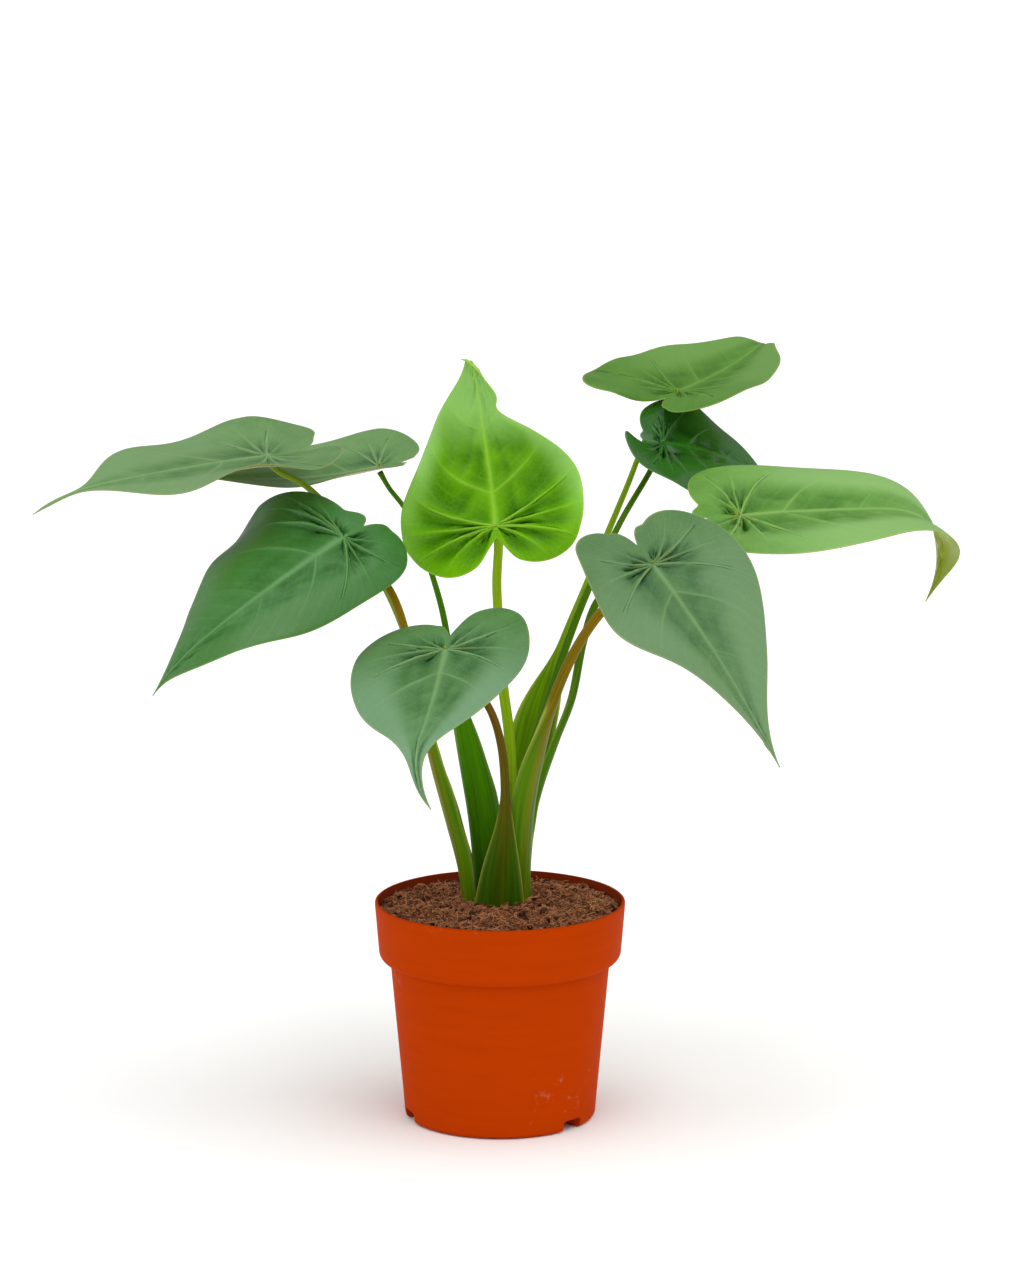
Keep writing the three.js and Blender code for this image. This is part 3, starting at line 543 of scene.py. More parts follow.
def blade_object(leaf, material):
    rows = margin_rows()
    columns = np.linspace(0, 1, VEIN_COLUMNS + 1) ** 0.9
    halves = [half_blade(leaf, side, rows, columns) for side in (0, 1)]
    grids = {key: np.concatenate([half[key].ravel() for half in halves]) for key in halves[0]}
    side = np.repeat([0, 1], grids["u"].size // 2)
    signed = np.where(side == 0, grids["v"], -grids["v"])
    keys = np.round(np.stack([grids["u"], signed], 1) * 1e5).astype(np.int64)
    _, first, merged = np.unique(keys, axis=0, return_index=True, return_inverse=True)
    at = {key: values[first] for key, values in grids.items()}
    points = blade_surface(leaf, at["u"], at["v"], side[first])
    grid = merged.reshape(2, len(rows), len(columns))
    triangles = blade_triangles(grid)

    normals = vertex_normals(points, triangles)
    depth = leaf["quilt"] * leaf["length"] / USUAL_LENGTH
    relief = VEIN_RISE * at["crest"] + MIDRIB_RISE * at["midrib"]
    relief = relief - depth * (at["shaded_hollow"] - PUCKER_RISE * at["pucker"])
    points = points + normals * relief[:, None]
    normals = vertex_normals(points, triangles)
    thin = BLADE_HALF_THICKNESS * lerp(0.55, 1, ease(at["edge"] / 2.5))
    rib = lerp(1.3, 0.3, np.clip(at["u"], 0, 1)) * at["midrib"] + 0.45 * at["crest"]
    upper = points + normals * thin[:, None]
    lower = points - normals * (thin + rib)[:, None]

    rim = blade_rim(grid)
    following = np.roll(rim, -1)
    outward = unit(np.cross(upper[following] - upper[np.roll(rim, 1)], normals[rim]))
    middle = (upper[rim] + lower[rim]) / 2 + outward * RIM_BULGE
    total = len(points)
    faces = [tuple(f) for f in triangles] + [(a + total, c + total, b + total) for a, b, c in triangles]
    ring = 2 * total + np.arange(len(rim))
    for a, b, m, n in zip(rim, following, ring, np.roll(ring, -1)):
        faces += [(a, m, n, b), (m, a + total, b + total, n)]
    made = mesh_object(leaf["name"] + "_waxy_blade", np.concatenate([upper, lower, middle]), faces, material)

    # What the material paints with: the veins, painted shade in the hollows (less on the pucker crests),
    # painted light towards the margin and tip, and the distance from the margin
    at["vein"] = np.maximum(at["crest"], at["midrib"])
    at["shaded_hollow"] = np.clip(at["shaded_hollow"] - 0.7 * at["pucker"], 0, 1.3)
    for name in ("vein", "shaded_hollow", "painted_light", "edge"):
        write_values(made.data, name, np.concatenate([at[name], at[name], np.zeros(len(rim))]))
    under = np.concatenate([np.zeros(total), np.ones(total), np.full(len(rim), 0.5)])
    write_values(made.data, "under", under)
    flat = np.stack([at["u"], signed[first]], 1) * leaf["length"] / 10
    fan = np.stack([at["row"], at["column"]], 1)
    for name, values in (("flat", flat), ("fan", fan)):
        write_uv(made.data, name, np.concatenate([values, values, values[rim]]))
    return made


# The stalk

def smooth_path(points, samples):
    """A centripetal spline through the points, evenly spaced along its length, with its tangents."""
    points = np.asarray(points, float)
    padded = np.vstack([2 * points[0] - points[1], points, 2 * points[-1] - points[-2]])
    fine = []
    for i in range(len(points) - 1):
        p0, p1, p2, p3 = padded[i:i + 4]
        d0, d1, d2 = (np.linalg.norm(b - a) ** 0.5 for a, b in ((p0, p1), (p1, p2), (p2, p3)))
        m1 = ((p1 - p0) / d0 - (p2 - p0) / (d0 + d1) + (p2 - p1) / d1) * d1
        m2 = ((p2 - p1) / d1 - (p3 - p1) / (d1 + d2) + (p3 - p2) / d2) * d1
        f = np.linspace(0, 1, 60, endpoint=False)[:, None]
        fine.append(p1 + m1 * f + (-3 * p1 + 3 * p2 - 2 * m1 - m2) * f ** 2
                    + (2 * p1 - 2 * p2 + m1 + m2) * f ** 3)
    fine = np.vstack(fine + [points[-1:]])
    lengths = np.concatenate([[0], np.cumsum(np.linalg.norm(np.diff(fine, axis=0), axis=1))])
    wanted = np.asarray(samples) * lengths[-1]
    places = np.stack([np.interp(wanted, lengths, fine[:, k]) for k in range(3)], 1)
    return places, unit(np.gradient(places, axis=0)), lengths[-1]


def stalk_line(leaf, s):
    """Places and directions along the stalk at the parts s of its length, and that length."""
    _, _, up = blade_axes(leaf)
    hub = np.array(leaf["hub"], float)
    path = np.array(leaf["path"], float)
    foot = np.array([path[0][0], path[0][1], STALK_FOOT_Z])
    neck = lerp(hub - up * HUB_NECK, path[-1], NECK_LEAN)
    return smooth_path(np.vstack([foot, path, neck, hub - up * STALK_TOP]), s)


def stalk_sizes(leaf, s):
    """Half width, half thickness, rod radius, and how far the sheath's wings are spread, at each s."""
    wide, _, full, reach, clasp = leaf["sheath"]
    rod = lerp(leaf["rod"][0], leaf["rod"][1], ease(s))
    wings = lerp(clasp, 1, ease(s / max(full, 0.01))) * (1 - ease((s - full) / (reach - full)))
    flare = 1 + TOP_FLARE * ease((s - 0.975) / 0.025)
    half = lerp(rod, np.maximum(rod, wide), wings) * flare
    thick = lerp(rod, np.minimum(rod, SHEATH_THICKNESS), wings) * flare
    return half, thick, rod, wings


def stalk_object(leaf, material):
    s = np.linspace(0, 1, STALK_RINGS + 1)
    places, tangents, length = stalk_line(leaf, s)
    half, thick, rod, wings = stalk_sizes(leaf, s)
    facing = math.radians(leaf["faces"])
    outward = np.array([math.cos(facing), math.sin(facing), 0.0])
    theta = np.linspace(0, 2 * np.pi, STALK_SIDES, endpoint=False)
    edge = np.abs(np.cos(theta))
    phase = leaf["wave_phase"][0] * 7
    points, rim, back, around = [], [], [], []
    for i in range(STALK_RINGS + 1):
        outward = unit(outward - tangents[i] * outward.dot(tangents[i]))
        across = np.cross(tangents[i], outward)
        x = half[i] * np.cos(theta)
        y = thick[i] * np.sin(theta) * (1 - 0.35 * wings[i] * edge ** 6)
        turn = max(math.radians(leaf["sheath"][1]) * wings[i], 1e-4)
        radius = half[i] / turn
        waved = np.sin(s[i] * length / SHEATH_WAVE + phase + 2 * (np.cos(theta) > 0))
        ripple = 0.45 * waved * (edge ** 10 * wings[i])
        sideways = (radius + y) * np.sin(turn * x / half[i])
        outwards = (radius + y) * np.cos(turn * x / half[i]) - radius + ripple
        points.append(places[i] + across * sideways[:, None] + outward * outwards[:, None])
        rim.append(edge ** 14 * ease(wings[i] / 0.12) * ease((half[i] - rod[i]) / 1.2))
        ridge = np.exp(-(x / RIDGE_WIDTH) ** 2) * (np.sin(theta) > 0)
        back.append(np.maximum(ridge, 1 - ease(wings[i] / 0.5)))
        around.append(np.stack([theta / (2 * np.pi), np.full(STALK_SIDES, s[i] * length / 10)], 1))
    faces = []
    for i in range(STALK_RINGS):
        faces += band(i * STALK_SIDES, (i + 1) * STALK_SIDES, STALK_SIDES)
    top = STALK_RINGS * STALK_SIDES
    faces += [tuple(range(STALK_SIDES)), tuple(reversed(range(top, top + STALK_SIDES)))]
    made = mesh_object(leaf["name"] + "_sheathed_stalk", np.concatenate(points), faces, material)
    write_values(made.data, "rim", np.concatenate(rim))
    write_values(made.data, "up", np.repeat(s, STALK_SIDES))
    write_values(made.data, "back", np.concatenate(back))
    write_uv(made.data, "around", np.concatenate(around))
    return made


# Materials

def leaf_material(name, tone):
    """Living leaf: a smooth waxy skin over a quilted blade, so it is satin and its veins show paler."""
    material, tree = blank_material(name)
    flat, fan = (node(tree, "UVMap", {}, uv_map=key) for key in ("flat", "fan"))
    vein, shaded_hollow, painted_light_zone, edge, under = (
        node(tree, "Attribute", {}, out="Fac", attribute_name=key)
        for key in ("vein", "shaded_hollow", "painted_light", "edge", "under"))
    # Soft blotches about 15 mm across
    blotch = node(tree, "TexNoise", {"Vector": flat, "Scale": 0.7, "Detail": 3})
    patchy = node(tree, "MapRange", {0: blotch, 1: 0.35, 2: 0.7, 3: 0, 4: 0.35})
    # Side veinlets, which run between the main veins about 3 mm apart
    spread = node(tree, "Mapping", {0: fan, 3: (1, 0.15, 1)})
    lines = node(tree, "TexWave", {"Vector": spread, "Scale": 14, "Distortion": 2.5, "Detail": 3}, out=1,
                 wave_profile="SIN")
    fine = node(tree, "MapRange", {0: lines, 1: 0.8, 2: 1, 3: 0, 4: 0.06})
    # The net of the finest veins, with meshes of about 2.5 mm
    net = node(tree, "TexVoronoi", {"Vector": flat, "Scale": 4}, feature="DISTANCE_TO_EDGE")
    thread = node(tree, "MapRange", {0: net, 1: 0, 2: 0.09, 3: 0.1, 4: 0})
    # The margin's last 0.8 mm
    rim = node(tree, "MapRange", {0: edge, 1: 0.15, 2: 0.8, 3: 0.5, 4: 0})
    # Each layer over the last: where it lies, how strong it is, and its colour.
    # Painted shade fills the hollows. Painted light, mostly a paler painted sheen, lies towards the margin
    # and tip
    layers = ((patchy, 1, "shaded_hollow"), (shaded_hollow, 0.85, "shaded_hollow"), (painted_light_zone, 0.8, "painted_light"), (fine, 1, "vein"),
              (thread, 1, "vein"), (vein, 0.5, "vein"), (rim, 1, "rim"), (under, 0.8, "under"))
    colour = linear(tone["blade"])
    for place, strength, shade in layers:
        amount = node(tree, "Math", {0: place, 1: strength}, operation="MULTIPLY")
        colour = node(tree, "Mix", {0: amount, 6: colour, 7: linear(tone[shade])}, out=2, data_type="RGBA")
    gloss = node(tree, "MapRange", {0: blotch, 1: 0.3, 2: 0.7, 3: tone["gloss"], 4: tone["gloss"] + 0.08})
    shine = node(tree, "MapRange", {0: painted_light_zone, 1: 0, 2: 1, 3: tone["shine"], 4: 0.42})
    height = node(tree, "Math", {0: fine, 1: thread}, operation="ADD")
    bump = node(tree, "Bump", {"Height": height, "Strength": 0.25, "Distance": 0.15 * MM})
    finish_material(tree, {"Base Color": colour, "Roughness": gloss, "Normal": bump, "IOR": 1.45,
                           "Specular IOR Level": shine})
    return material


def stalk_material(name, tone):
    """Fleshy leaf stalk: a smooth skin with fine lengthwise ribs, satin and slightly wet looking."""
    material, tree = blank_material(name)
    around = node(tree, "UVMap", {}, uv_map="around")
    rim, up, back = (
        node(tree, "Attribute", {}, out="Fac", attribute_name=key) for key in ("rim", "up", "back"))
    # Ribs about 1 mm apart, drawn out along the stalk
    stretched = node(tree, "Mapping", {0: around, 3: (22, 0.12, 1)})
    ribs = node(tree, "TexNoise", {"Vector": stretched, "Scale": 1.6, "Detail": 4})
    flecks = node(tree, "TexNoise", {"Vector": around, "Scale": 3, "Detail": 3})
    uneven = node(tree, "Math", {0: flecks, 1: 0.35, 2: up}, operation="MULTIPLY_ADD")
    climb = node(tree, "MapRange", {0: uneven, 1: 0.1, 2: 0.85})
    amount = node(tree, "Math", {0: climb, 1: back}, operation="MULTIPLY")
    colour = node(tree, "Mix", {0: amount, 6: linear(tone["sheath"]), 7: linear(tone["ridge"])}, out=2,
                  data_type="RGBA")
    darker = node(tree, "MapRange", {0: ribs, 1: 0.35, 2: 0.65, 3: 0.72, 4: 1.15})
    colour = node(tree, "Mix", {0: 1.0, 6: colour, 7: darker}, out=2, data_type="RGBA",
                  blend_type="MULTIPLY")
    colour = node(tree, "Mix", {0: rim, 6: colour, 7: linear(tone["rim"])}, out=2, data_type="RGBA")
    bump = node(tree, "Bump", {"Height": ribs, "Strength": 0.3, "Distance": 0.3 * MM})
    finish_material(tree, {"Base Color": colour, "Roughness": 0.42, "Normal": bump, "IOR": 1.45,
                           "Specular IOR Level": 0.07})
    return material


def pot_material(tone):
    """Injection-moulded polypropylene, orange right through: satin, with faint flow marks and dry scuffs."""
    material, tree = blank_material("moulded_polypropylene")
    place = node(tree, "TexCoord", {}, out="Object")
    # Flow marks about 20 mm long that run round the pot
    banded = node(tree, "Mapping", {0: place, 3: (30, 30, 260)})
    flow = node(tree, "TexNoise", {"Vector": banded, "Scale": 1, "Detail": 4})
    shade = node(tree, "MapRange", {0: flow, 1: 0.3, 2: 0.7, 3: 0.96, 4: 1.03})
    colour = node(tree, "Mix", {0: 1.0, 6: tone, 7: shade}, out=2, data_type="RGBA", blend_type="MULTIPLY")
    # Pale scuffs, a few millimetres long, in patches
    scuffed = node(tree, "TexNoise", {"Vector": place, "Scale": 160, "Detail": 6, "Roughness": 0.75})
    areas = node(tree, "TexNoise", {"Vector": place, "Scale": 18, "Detail": 1})
    both = node(tree, "Math", {0: scuffed, 1: areas}, operation="MULTIPLY")
    worn = node(tree, "MapRange", {0: both, 1: 0.38, 2: 0.5, 3: 0, 4: 0.3})
    colour = node(tree, "Mix", {0: worn, 6: colour, 7: linear("#d8a08c")}, out=2, data_type="RGBA")
    # Painted shade on the inside of the rim, above the soil
    parts = node(tree, "SeparateXYZ", {0: place}, out=None)
    level = node(tree, "VectorMath", {0: place, 1: (1, 1, 0)}, operation="MULTIPLY")
    away = node(tree, "VectorMath", {0: level}, out="Value", operation="LENGTH")
    inward = node(tree, "MapRange", {0: away, 1: 59.6 * MM, 2: 59.2 * MM, 3: 0, 4: 0.75})
    high = node(tree, "MapRange", {0: parts.outputs[2], 1: 96 * MM, 2: 97 * MM})
    painted_rim_shade = node(tree, "Math", {0: inward, 1: high}, operation="MULTIPLY")
    colour = node(tree, "Mix", {0: painted_rim_shade, 6: colour, 7: linear("#5c2410")}, out=2, data_type="RGBA")
    gloss = node(tree, "MapRange", {0: flow, 1: 0.3, 2: 0.7, 3: 0.5, 4: 0.58})
    # Spark-eroded mould grain, about 0.6 mm, drawn coarser than life so that it shows
    grain = node(tree, "TexNoise", {"Vector": place, "Scale": 1600, "Detail": 2})
    bump = node(tree, "Bump", {"Height": grain, "Strength": 0.12, "Distance": 0.1 * MM})
    finish_material(tree, {"Base Color": colour, "Roughness": gloss, "Normal": bump, "IOR": 1.49,
                           "Specular IOR Level": 0.01})
    return material


def mix_material(name, pale, dark, rough):
    """Damp potting mix or its fibres: matt, each crumb or thread its own shade of brown."""
    material, tree = blank_material(name)
    place = node(tree, "TexCoord", {}, out="Object")
    island = node(tree, "NewGeometry", {}, out="Random Per Island")
    # Specks about 1 mm across
    specks = node(tree, "TexNoise", {"Vector": place, "Scale": 900, "Detail": 5, "Roughness": 0.7})
    both = node(tree, "Math", {0: specks, 1: island}, operation="MULTIPLY")
    amount = node(tree, "MapRange", {0: both, 1: 0.07, 2: 0.42})
    colour = node(tree, "Mix", {0: amount, 6: linear(dark), 7: linear(pale)}, out=2, data_type="RGBA")
    bump = node(tree, "Bump", {"Height": specks, "Strength": 0.6, "Distance": 0.5 * MM})
    finish_material(tree, {"Base Color": colour, "Roughness": rough, "Normal": bump, "IOR": 1.4,
                           "Specular IOR Level": 0.25})
    return material


# The pot

def corner(centre_r, centre_z, radius, start, end, steps):
    angles = np.radians(np.linspace(start, end, steps + 1))
    return [(centre_r + radius * math.cos(a), centre_z + radius * math.sin(a)) for a in angles]


def pot_profile():
    collar_top = POT_RIM_RADIUS - 0.3
    ring_inner = FOOT_RADIUS - FOOT_RING_WIDTH
    return [
        (0, 0),
        (CENTRE_PAD_RADIUS - 0.5, 0),
        (CENTRE_PAD_RADIUS, 0.3),
        (CENTRE_PAD_RADIUS + 1, UNDER_RECESS),
        (ring_inner - 1, UNDER_RECESS),
        (ring_inner, 0.3),
        (ring_inner + 0.4, 0),
        (FOOT_RADIUS, 0),
        *corner(FOOT_RADIUS, FOOT_CORNER, FOOT_CORNER, -80, 0, 8),
        (FOOT_RADIUS + FOOT_CORNER + 0.6, 10),
        (COLLAR_BOTTOM_RADIUS - 0.5, COLLAR_BOTTOM_Z - 5),
        (COLLAR_BOTTOM_RADIUS, COLLAR_BOTTOM_Z - 0.4),
        (COLLAR_BOTTOM_RADIUS + 0.4, COLLAR_BOTTOM_Z),
        *corner(COLLAR_BOTTOM_RADIUS + 0.9, COLLAR_BOTTOM_Z + COLLAR_SHOULDER, COLLAR_SHOULDER, -85, -6, 12),
        (collar_top - 0.1, POT_HEIGHT - 3),
        (collar_top, POT_HEIGHT - 1.1),
        (collar_top - 0.15, POT_HEIGHT - 0.4),
        (collar_top - 0.6, POT_HEIGHT),
        (POT_INSIDE[0][0] + 0.3, POT_HEIGHT),
        (POT_INSIDE[0][0], POT_HEIGHT - 0.4),
        *POT_INSIDE[1:],
        (0, UNDER_RECESS + POT_WALL),
    ]


def lathe(profile, sides):
    """A closed solid of revolution about Z, whose profile starts and ends on the axis."""
    middle = np.array(profile[1:-1], float)
    angles = np.linspace(0, 2 * np.pi, sides, endpoint=False)
    rings = [np.stack([r * np.cos(angles), r * np.sin(angles), np.full(sides, z)], 1) for r, z in middle]
    points = np.vstack([[[0, 0, profile[0][1]]], *rings, [[0, 0, profile[-1][1]]]])
    end = len(points) - 1
    faces = []
    for j in range(sides):
        k = (j + 1) % sides
        faces.append((0, 1 + k, 1 + j))
        for i in range(len(middle) - 1):
            low, high = 1 + i * sides, 1 + (i + 1) * sides
            faces.append((low + j, low + k, high + k, high + j))
        top = 1 + (len(middle) - 1) * sides
        faces.append((top + j, top + k, end))
    return points, faces


def prism(low, high):
    """A closed solid between two like rings of points."""
    count = len(low)
    faces = [(j, (j + 1) % count, count + (j + 1) % count, count + j) for j in range(count)]
    faces += [tuple(reversed(range(count))), tuple(range(count, 2 * count))]
    return np.vstack([low, high]), faces


def drain_hole(angle):
    turns = np.linspace(0, 2 * np.pi, 32, endpoint=False)
    x = DRAIN_CIRCLE_RADIUS * math.cos(angle) + DRAIN_HOLE_RADIUS * np.cos(turns)
    y = DRAIN_CIRCLE_RADIUS * math.sin(angle) + DRAIN_HOLE_RADIUS * np.sin(turns)
    return prism(np.stack([x, y, 0 * x], 1), np.stack([x, y, 0 * x + 3 * UNDER_RECESS], 1))


def notch(angle):
    """An arch cut through the foot ring, which lets water drain."""
    half = NOTCH_WIDTH / 2
    arch = [(half, -2), *[(half - 2 + 2 * math.cos(a), NOTCH_HEIGHT - 2 + 2 * math.sin(a))
                          for a in np.radians([0, 30, 60, 90])]]
    section = arch + [(-x, z) for x, z in reversed(arch)]
    turn = angle - math.pi / 2
    c, s = math.cos(turn), math.sin(turn)
    rotation = np.array([[c, s, 0], [-s, c, 0], [0, 0, 1]])
    inner, outer = FOOT_RADIUS - FOOT_RING_WIDTH - 2, FOOT_RADIUS + FOOT_CORNER + 2
    return prism(*(np.array([(x, r, z) for x, z in section]) @ rotation for r in (outer, inner)))


def pot_object(settings):
    material = pot_material(linear(settings.hex_colour))
    made = mesh_object("moulded_pot", *lathe(pot_profile(), settings.sides), material)
    holes = (np.arange(DRAIN_HOLES) + 0.5) * 2 * math.pi / DRAIN_HOLES
    notches = math.radians(FIRST_NOTCH_ANGLE) + np.arange(NOTCHES) * 2 * math.pi / NOTCHES
    cutters = [drain_hole(angle) for angle in holes] + [notch(angle) for angle in notches]
    tools = []
    for i, (points, faces) in enumerate(cutters):
        tool = mesh_object(f"pot_cutter_{i}", points, faces, material)
        tools.append(tool)
        cut = made.modifiers.new(f"cut_{i}", "BOOLEAN")
        cut.object = tool
        cut.operation = "DIFFERENCE"
        cut.solver = "EXACT"
    plain_mesh(made)
    for tool in tools:
        bpy.data.objects.remove(tool)
    sharpen(made.data)
    return made


def sharpen(mesh, angle=32):
    """Smooth shading, but for edges that turn more than the angle."""
    mesh.shade_smooth()
    mesh.set_sharp_from_angle(angle=math.radians(angle))


# The soil

def soil_top(x, y):
    reach = np.hypot(x - CROWN_X, y - CROWN_Y) / POT_RIM_RADIUS
    lumps = (np.sin(x * 0.23 + 1.3) * np.cos(y * 0.27 - 0.6) + 0.7 * np.sin(x * 0.41 - y * 0.33 + 2.1)
             + 0.5 * np.cos(x * 0.62 + y * 0.51))
    return SOIL_EDGE_Z + SOIL_MOUND * ease(1 - reach) + SOIL_ROUGHNESS * lumps


def crumbled(x, y):
    """Small clods and hollows, 3 to 8 mm across, on top of the lumps."""
    return (1.3 * np.sin(x * 0.9 + 2 * np.sin(y * 0.7)) * np.cos(y * 1.1 + x * 0.4)
            + 0.6 * np.sin(x * 2.1 - y * 1.7 + 1.5 * np.sin(x * 0.9)))


def inside_radius(z):
    radii = [r for r, _ in reversed(POT_INSIDE)]
    heights = [h for _, h in reversed(POT_INSIDE)]
    return float(np.interp(z, heights, radii)) - SOIL_GAP


def soil_surface(rings, sides):
    """The grid of the soil's top as points and faces, with its centre first."""
    angles = np.linspace(0, 2 * np.pi, sides, endpoint=False)
    outer = inside_radius(SOIL_EDGE_Z - 1)
    radii = outer * np.linspace(0, 1, rings + 1)[1:]
    x = np.concatenate([[0]] + [r * np.cos(angles) for r in radii])
    y = np.concatenate([[0]] + [r * np.sin(angles) for r in radii])
    points = np.stack([x, y, soil_top(x, y) + crumbled(x, y)], 1)
    faces = [(0, 1 + j, 1 + (j + 1) % sides) for j in range(sides)]
    for i in range(rings - 1):
        faces += band(1 + i * sides, 1 + (i + 1) * sides, sides)
    return points, faces


def soil_object(settings, material):
    rings, sides = settings.rings, settings.rings * 3
    points, faces = soil_surface(rings, sides)
    angles = np.linspace(0, 2 * np.pi, sides, endpoint=False)
    floor_z = UNDER_RECESS + POT_WALL + SOIL_GAP
    for height in (84, 80, 60, 34, 8, floor_z):
        radius = inside_radius(height)
        ring = np.stack([radius * np.cos(angles), radius * np.sin(angles), np.full(sides, height)], 1)
        faces += band(len(points) - sides, len(points), sides)
        points = np.vstack([points, ring])
    faces.append(tuple(reversed(range(len(points) - sides, len(points)))))
    return mesh_object("potting_mix_body", points, faces, material)


def scatter_tree(name, measures):
    """A geometry tree with its group input and output, and its named inputs in order."""
    tree = bpy.data.node_groups.new(name, "GeometryNodeTree")
    sockets = [("Geometry", "Geometry"), *((label, "Float") for label in measures), ("Seed", "Int"),
               ("Material", "Material")]
    for label, kind in sockets:
        tree.interface.new_socket(name=label, in_out="INPUT", socket_type="NodeSocket" + kind)
    tree.interface.new_socket(name="Geometry", in_out="OUTPUT", socket_type="NodeSocketGeometry")
    return tree, node(tree, "NodeGroupInput", {}, out=None), node(tree, "NodeGroupOutput", {}, out=None)


def strewn(tree, given, piece, turns, turn_seed, scale):
    """Stands a turned and scaled copy of a piece on random spots of the given surface."""
    spots = node(tree, "GeometryNodeDistributePointsOnFaces",
                 {"Mesh": given.outputs["Geometry"], "Density": given.outputs["Density"],
                  "Seed": given.outputs["Seed"]}, out="Points")
    turn = node(tree, "FunctionNodeRandomValue", {"Min": turns[0], "Max": turns[1], "Seed": turn_seed},
                out="Value", data_type="FLOAT_VECTOR")
    copies = node(tree, "GeometryNodeInstanceOnPoints",
                  {"Points": spots, "Instance": piece, "Rotation": turn, "Scale": scale})
    return node(tree, "GeometryNodeRealizeInstances", {0: copies})


def shaken(tree, geometry, scale, detail, middle, amount):
    """Shifts every point by a noise, less its middle value."""
    place = node(tree, "GeometryNodeInputPosition", {})
    noise = node(tree, "TexNoise", {"Vector": place, "Scale": scale, "Detail": detail}, out="Color")
    centred = node(tree, "VectorMath", {0: noise, 1: middle}, operation="SUBTRACT")
    push = node(tree, "VectorMath", {0: centred, "Scale": amount}, operation="SCALE")
    return node(tree, "GeometryNodeSetPosition", {"Geometry": geometry, "Offset": push})


def finish_tree(tree, given, result, geometry):
    real = node(tree, "GeometryNodeRealizeInstances", {0: geometry})
    painted = node(tree, "GeometryNodeSetMaterial", {0: real, "Material": given.outputs["Material"]})
    tree.links.new(painted, result.inputs[0])
    return tree


def crumb_tree():
    """Irregular crumbs strewn over a surface."""
    tree, given, result = scatter_tree("strewn_crumbs", ("Density", "Smallest", "Largest", "Unevenness"))
    crumb = node(tree, "GeometryNodeMeshIcoSphere", {"Radius": 1.0, "Subdivisions": 2}, out="Mesh")
    chance = node(tree, "FunctionNodeRandomValue", {2: 0.0, 3: 1.0, "Seed": 5}, out=1, data_type="FLOAT")
    skewed = node(tree, "Math", {0: chance, 1: 3.0}, operation="POWER")
    size = node(tree, "MapRange", {0: skewed, 3: given.outputs["Smallest"], 4: given.outputs["Largest"]})
    shape = node(tree, "FunctionNodeRandomValue", {"Min": (0.7, 0.7, 0.5), "Max": (1.3, 1.3, 1), "Seed": 7},
                 out="Value", data_type="FLOAT_VECTOR")
    scale = node(tree, "VectorMath", {0: shape, "Scale": size}, operation="SCALE")
    solid = strewn(tree, given, crumb, ((0, 0, 0), (6.28, 6.28, 6.28)), 3, scale)
    rough = shaken(tree, solid, 700.0, 2.0, (0.5, 0.5, 0.5), given.outputs["Unevenness"])
    return finish_tree(tree, given, result, rough)


def fibre_tree():
    """Curled threads of coir lying over a surface."""
    tree, given, result = scatter_tree("coir_threads", ("Density", "Length", "Thickness", "Curl"))
    thread = node(tree, "GeometryNodeCurveQuadraticBezier",
                  {"Resolution": 7, "Start": (-0.5, 0, 0), "Middle": (0, 0.25, 0.12), "End": (0.5, 0, 0)})
    chance = node(tree, "FunctionNodeRandomValue", {2: 0.35, 3: 1.0, "Seed": 13}, out=1, data_type="FLOAT")
    size = node(tree, "Math", {0: chance, 1: given.outputs["Length"]}, operation="MULTIPLY")
    scale = node(tree, "CombineXYZ", {0: size, 1: size, 2: size})
    solid = strewn(tree, given, thread, ((-0.45, -0.4, 0), (0.45, 0.4, 6.28)), 11, scale)
    # A little less is taken off the height, so the threads lift
    curled = shaken(tree, solid, 260.0, 1.0, (0.5, 0.5, 0.46), given.outputs["Curl"])
    wide = given.outputs["Thickness"]
    section = node(tree, "GeometryNodeCurvePrimitiveCircle", {"Resolution": 4, "Radius": wide})
    body = node(tree, "GeometryNodeCurveToMesh", {0: curled, "Profile Curve": section, "Fill Caps": True})
    return finish_tree(tree, given, result, body)


def grow(name, points, faces, tree, material, values):
    """Runs a geometry tree on a surface and keeps the result as a plain mesh."""
    made = mesh_object(name, points, faces, material)
    modifier = made.modifiers.new("scatter", "NODES")
    modifier.node_group = tree
    sockets = {s.name: s.identifier for s in tree.interface.items_tree if s.in_out == "INPUT"}
    for label, value in {**values, "Material": material}.items():
        modifier[sockets[label]] = value
    plain_mesh(made)
    made.data.shade_smooth()
    return made


def open_ground(points, faces, margin):
    """The soil's faces that lie clear of the pot's wall."""
    reach = inside_radius(SOIL_EDGE_Z) - margin
    return [f for f in faces if math.hypot(*points[list(f), :2].mean(0)) < reach]


# The stage

def studio_sky(settings):
    """A white tent, brightest overhead, with side walls that are brighter than its front and back."""
    world = bpy.data.worlds.new("studio_sky")
    world.use_nodes = True
    tree = world.node_tree
    tree.nodes.clear()
    towards = node(tree, "TexCoord", {}, out="Generated")
    height = node(tree, "VectorMath", {0: towards, 1: SKY_AXIS}, out="Value", operation="DOT_PRODUCT")
    glow = node(tree, "MapRange", {0: height, 1: 0.0, 2: 1.0, 3: settings.sky_low, 4: settings.sky_high})
    across = node(tree, "SeparateXYZ", {0: towards})
    walls = node(tree, "Math", {0: across, 1: 2.0}, operation="POWER")
    glow = node(tree, "Math", {0: walls, 1: settings.sky_sides, 2: glow}, operation="MULTIPLY_ADD")
    light = node(tree, "Background", {"Color": linear("#ffffff"), "Strength": glow})
    node(tree, "OutputWorld", {0: light}, out=None)
    return world


# Settings

class PotSettings(bpy.types.PropertyGroup):
    """What a user may change on the pot."""

    hex_colour: StringProperty(name="Colour", description="sRGB hex of the plastic", default="#b83a00")
    sides: IntProperty(name="Sides", description="Facets round the pot", default=192, min=24, max=256)


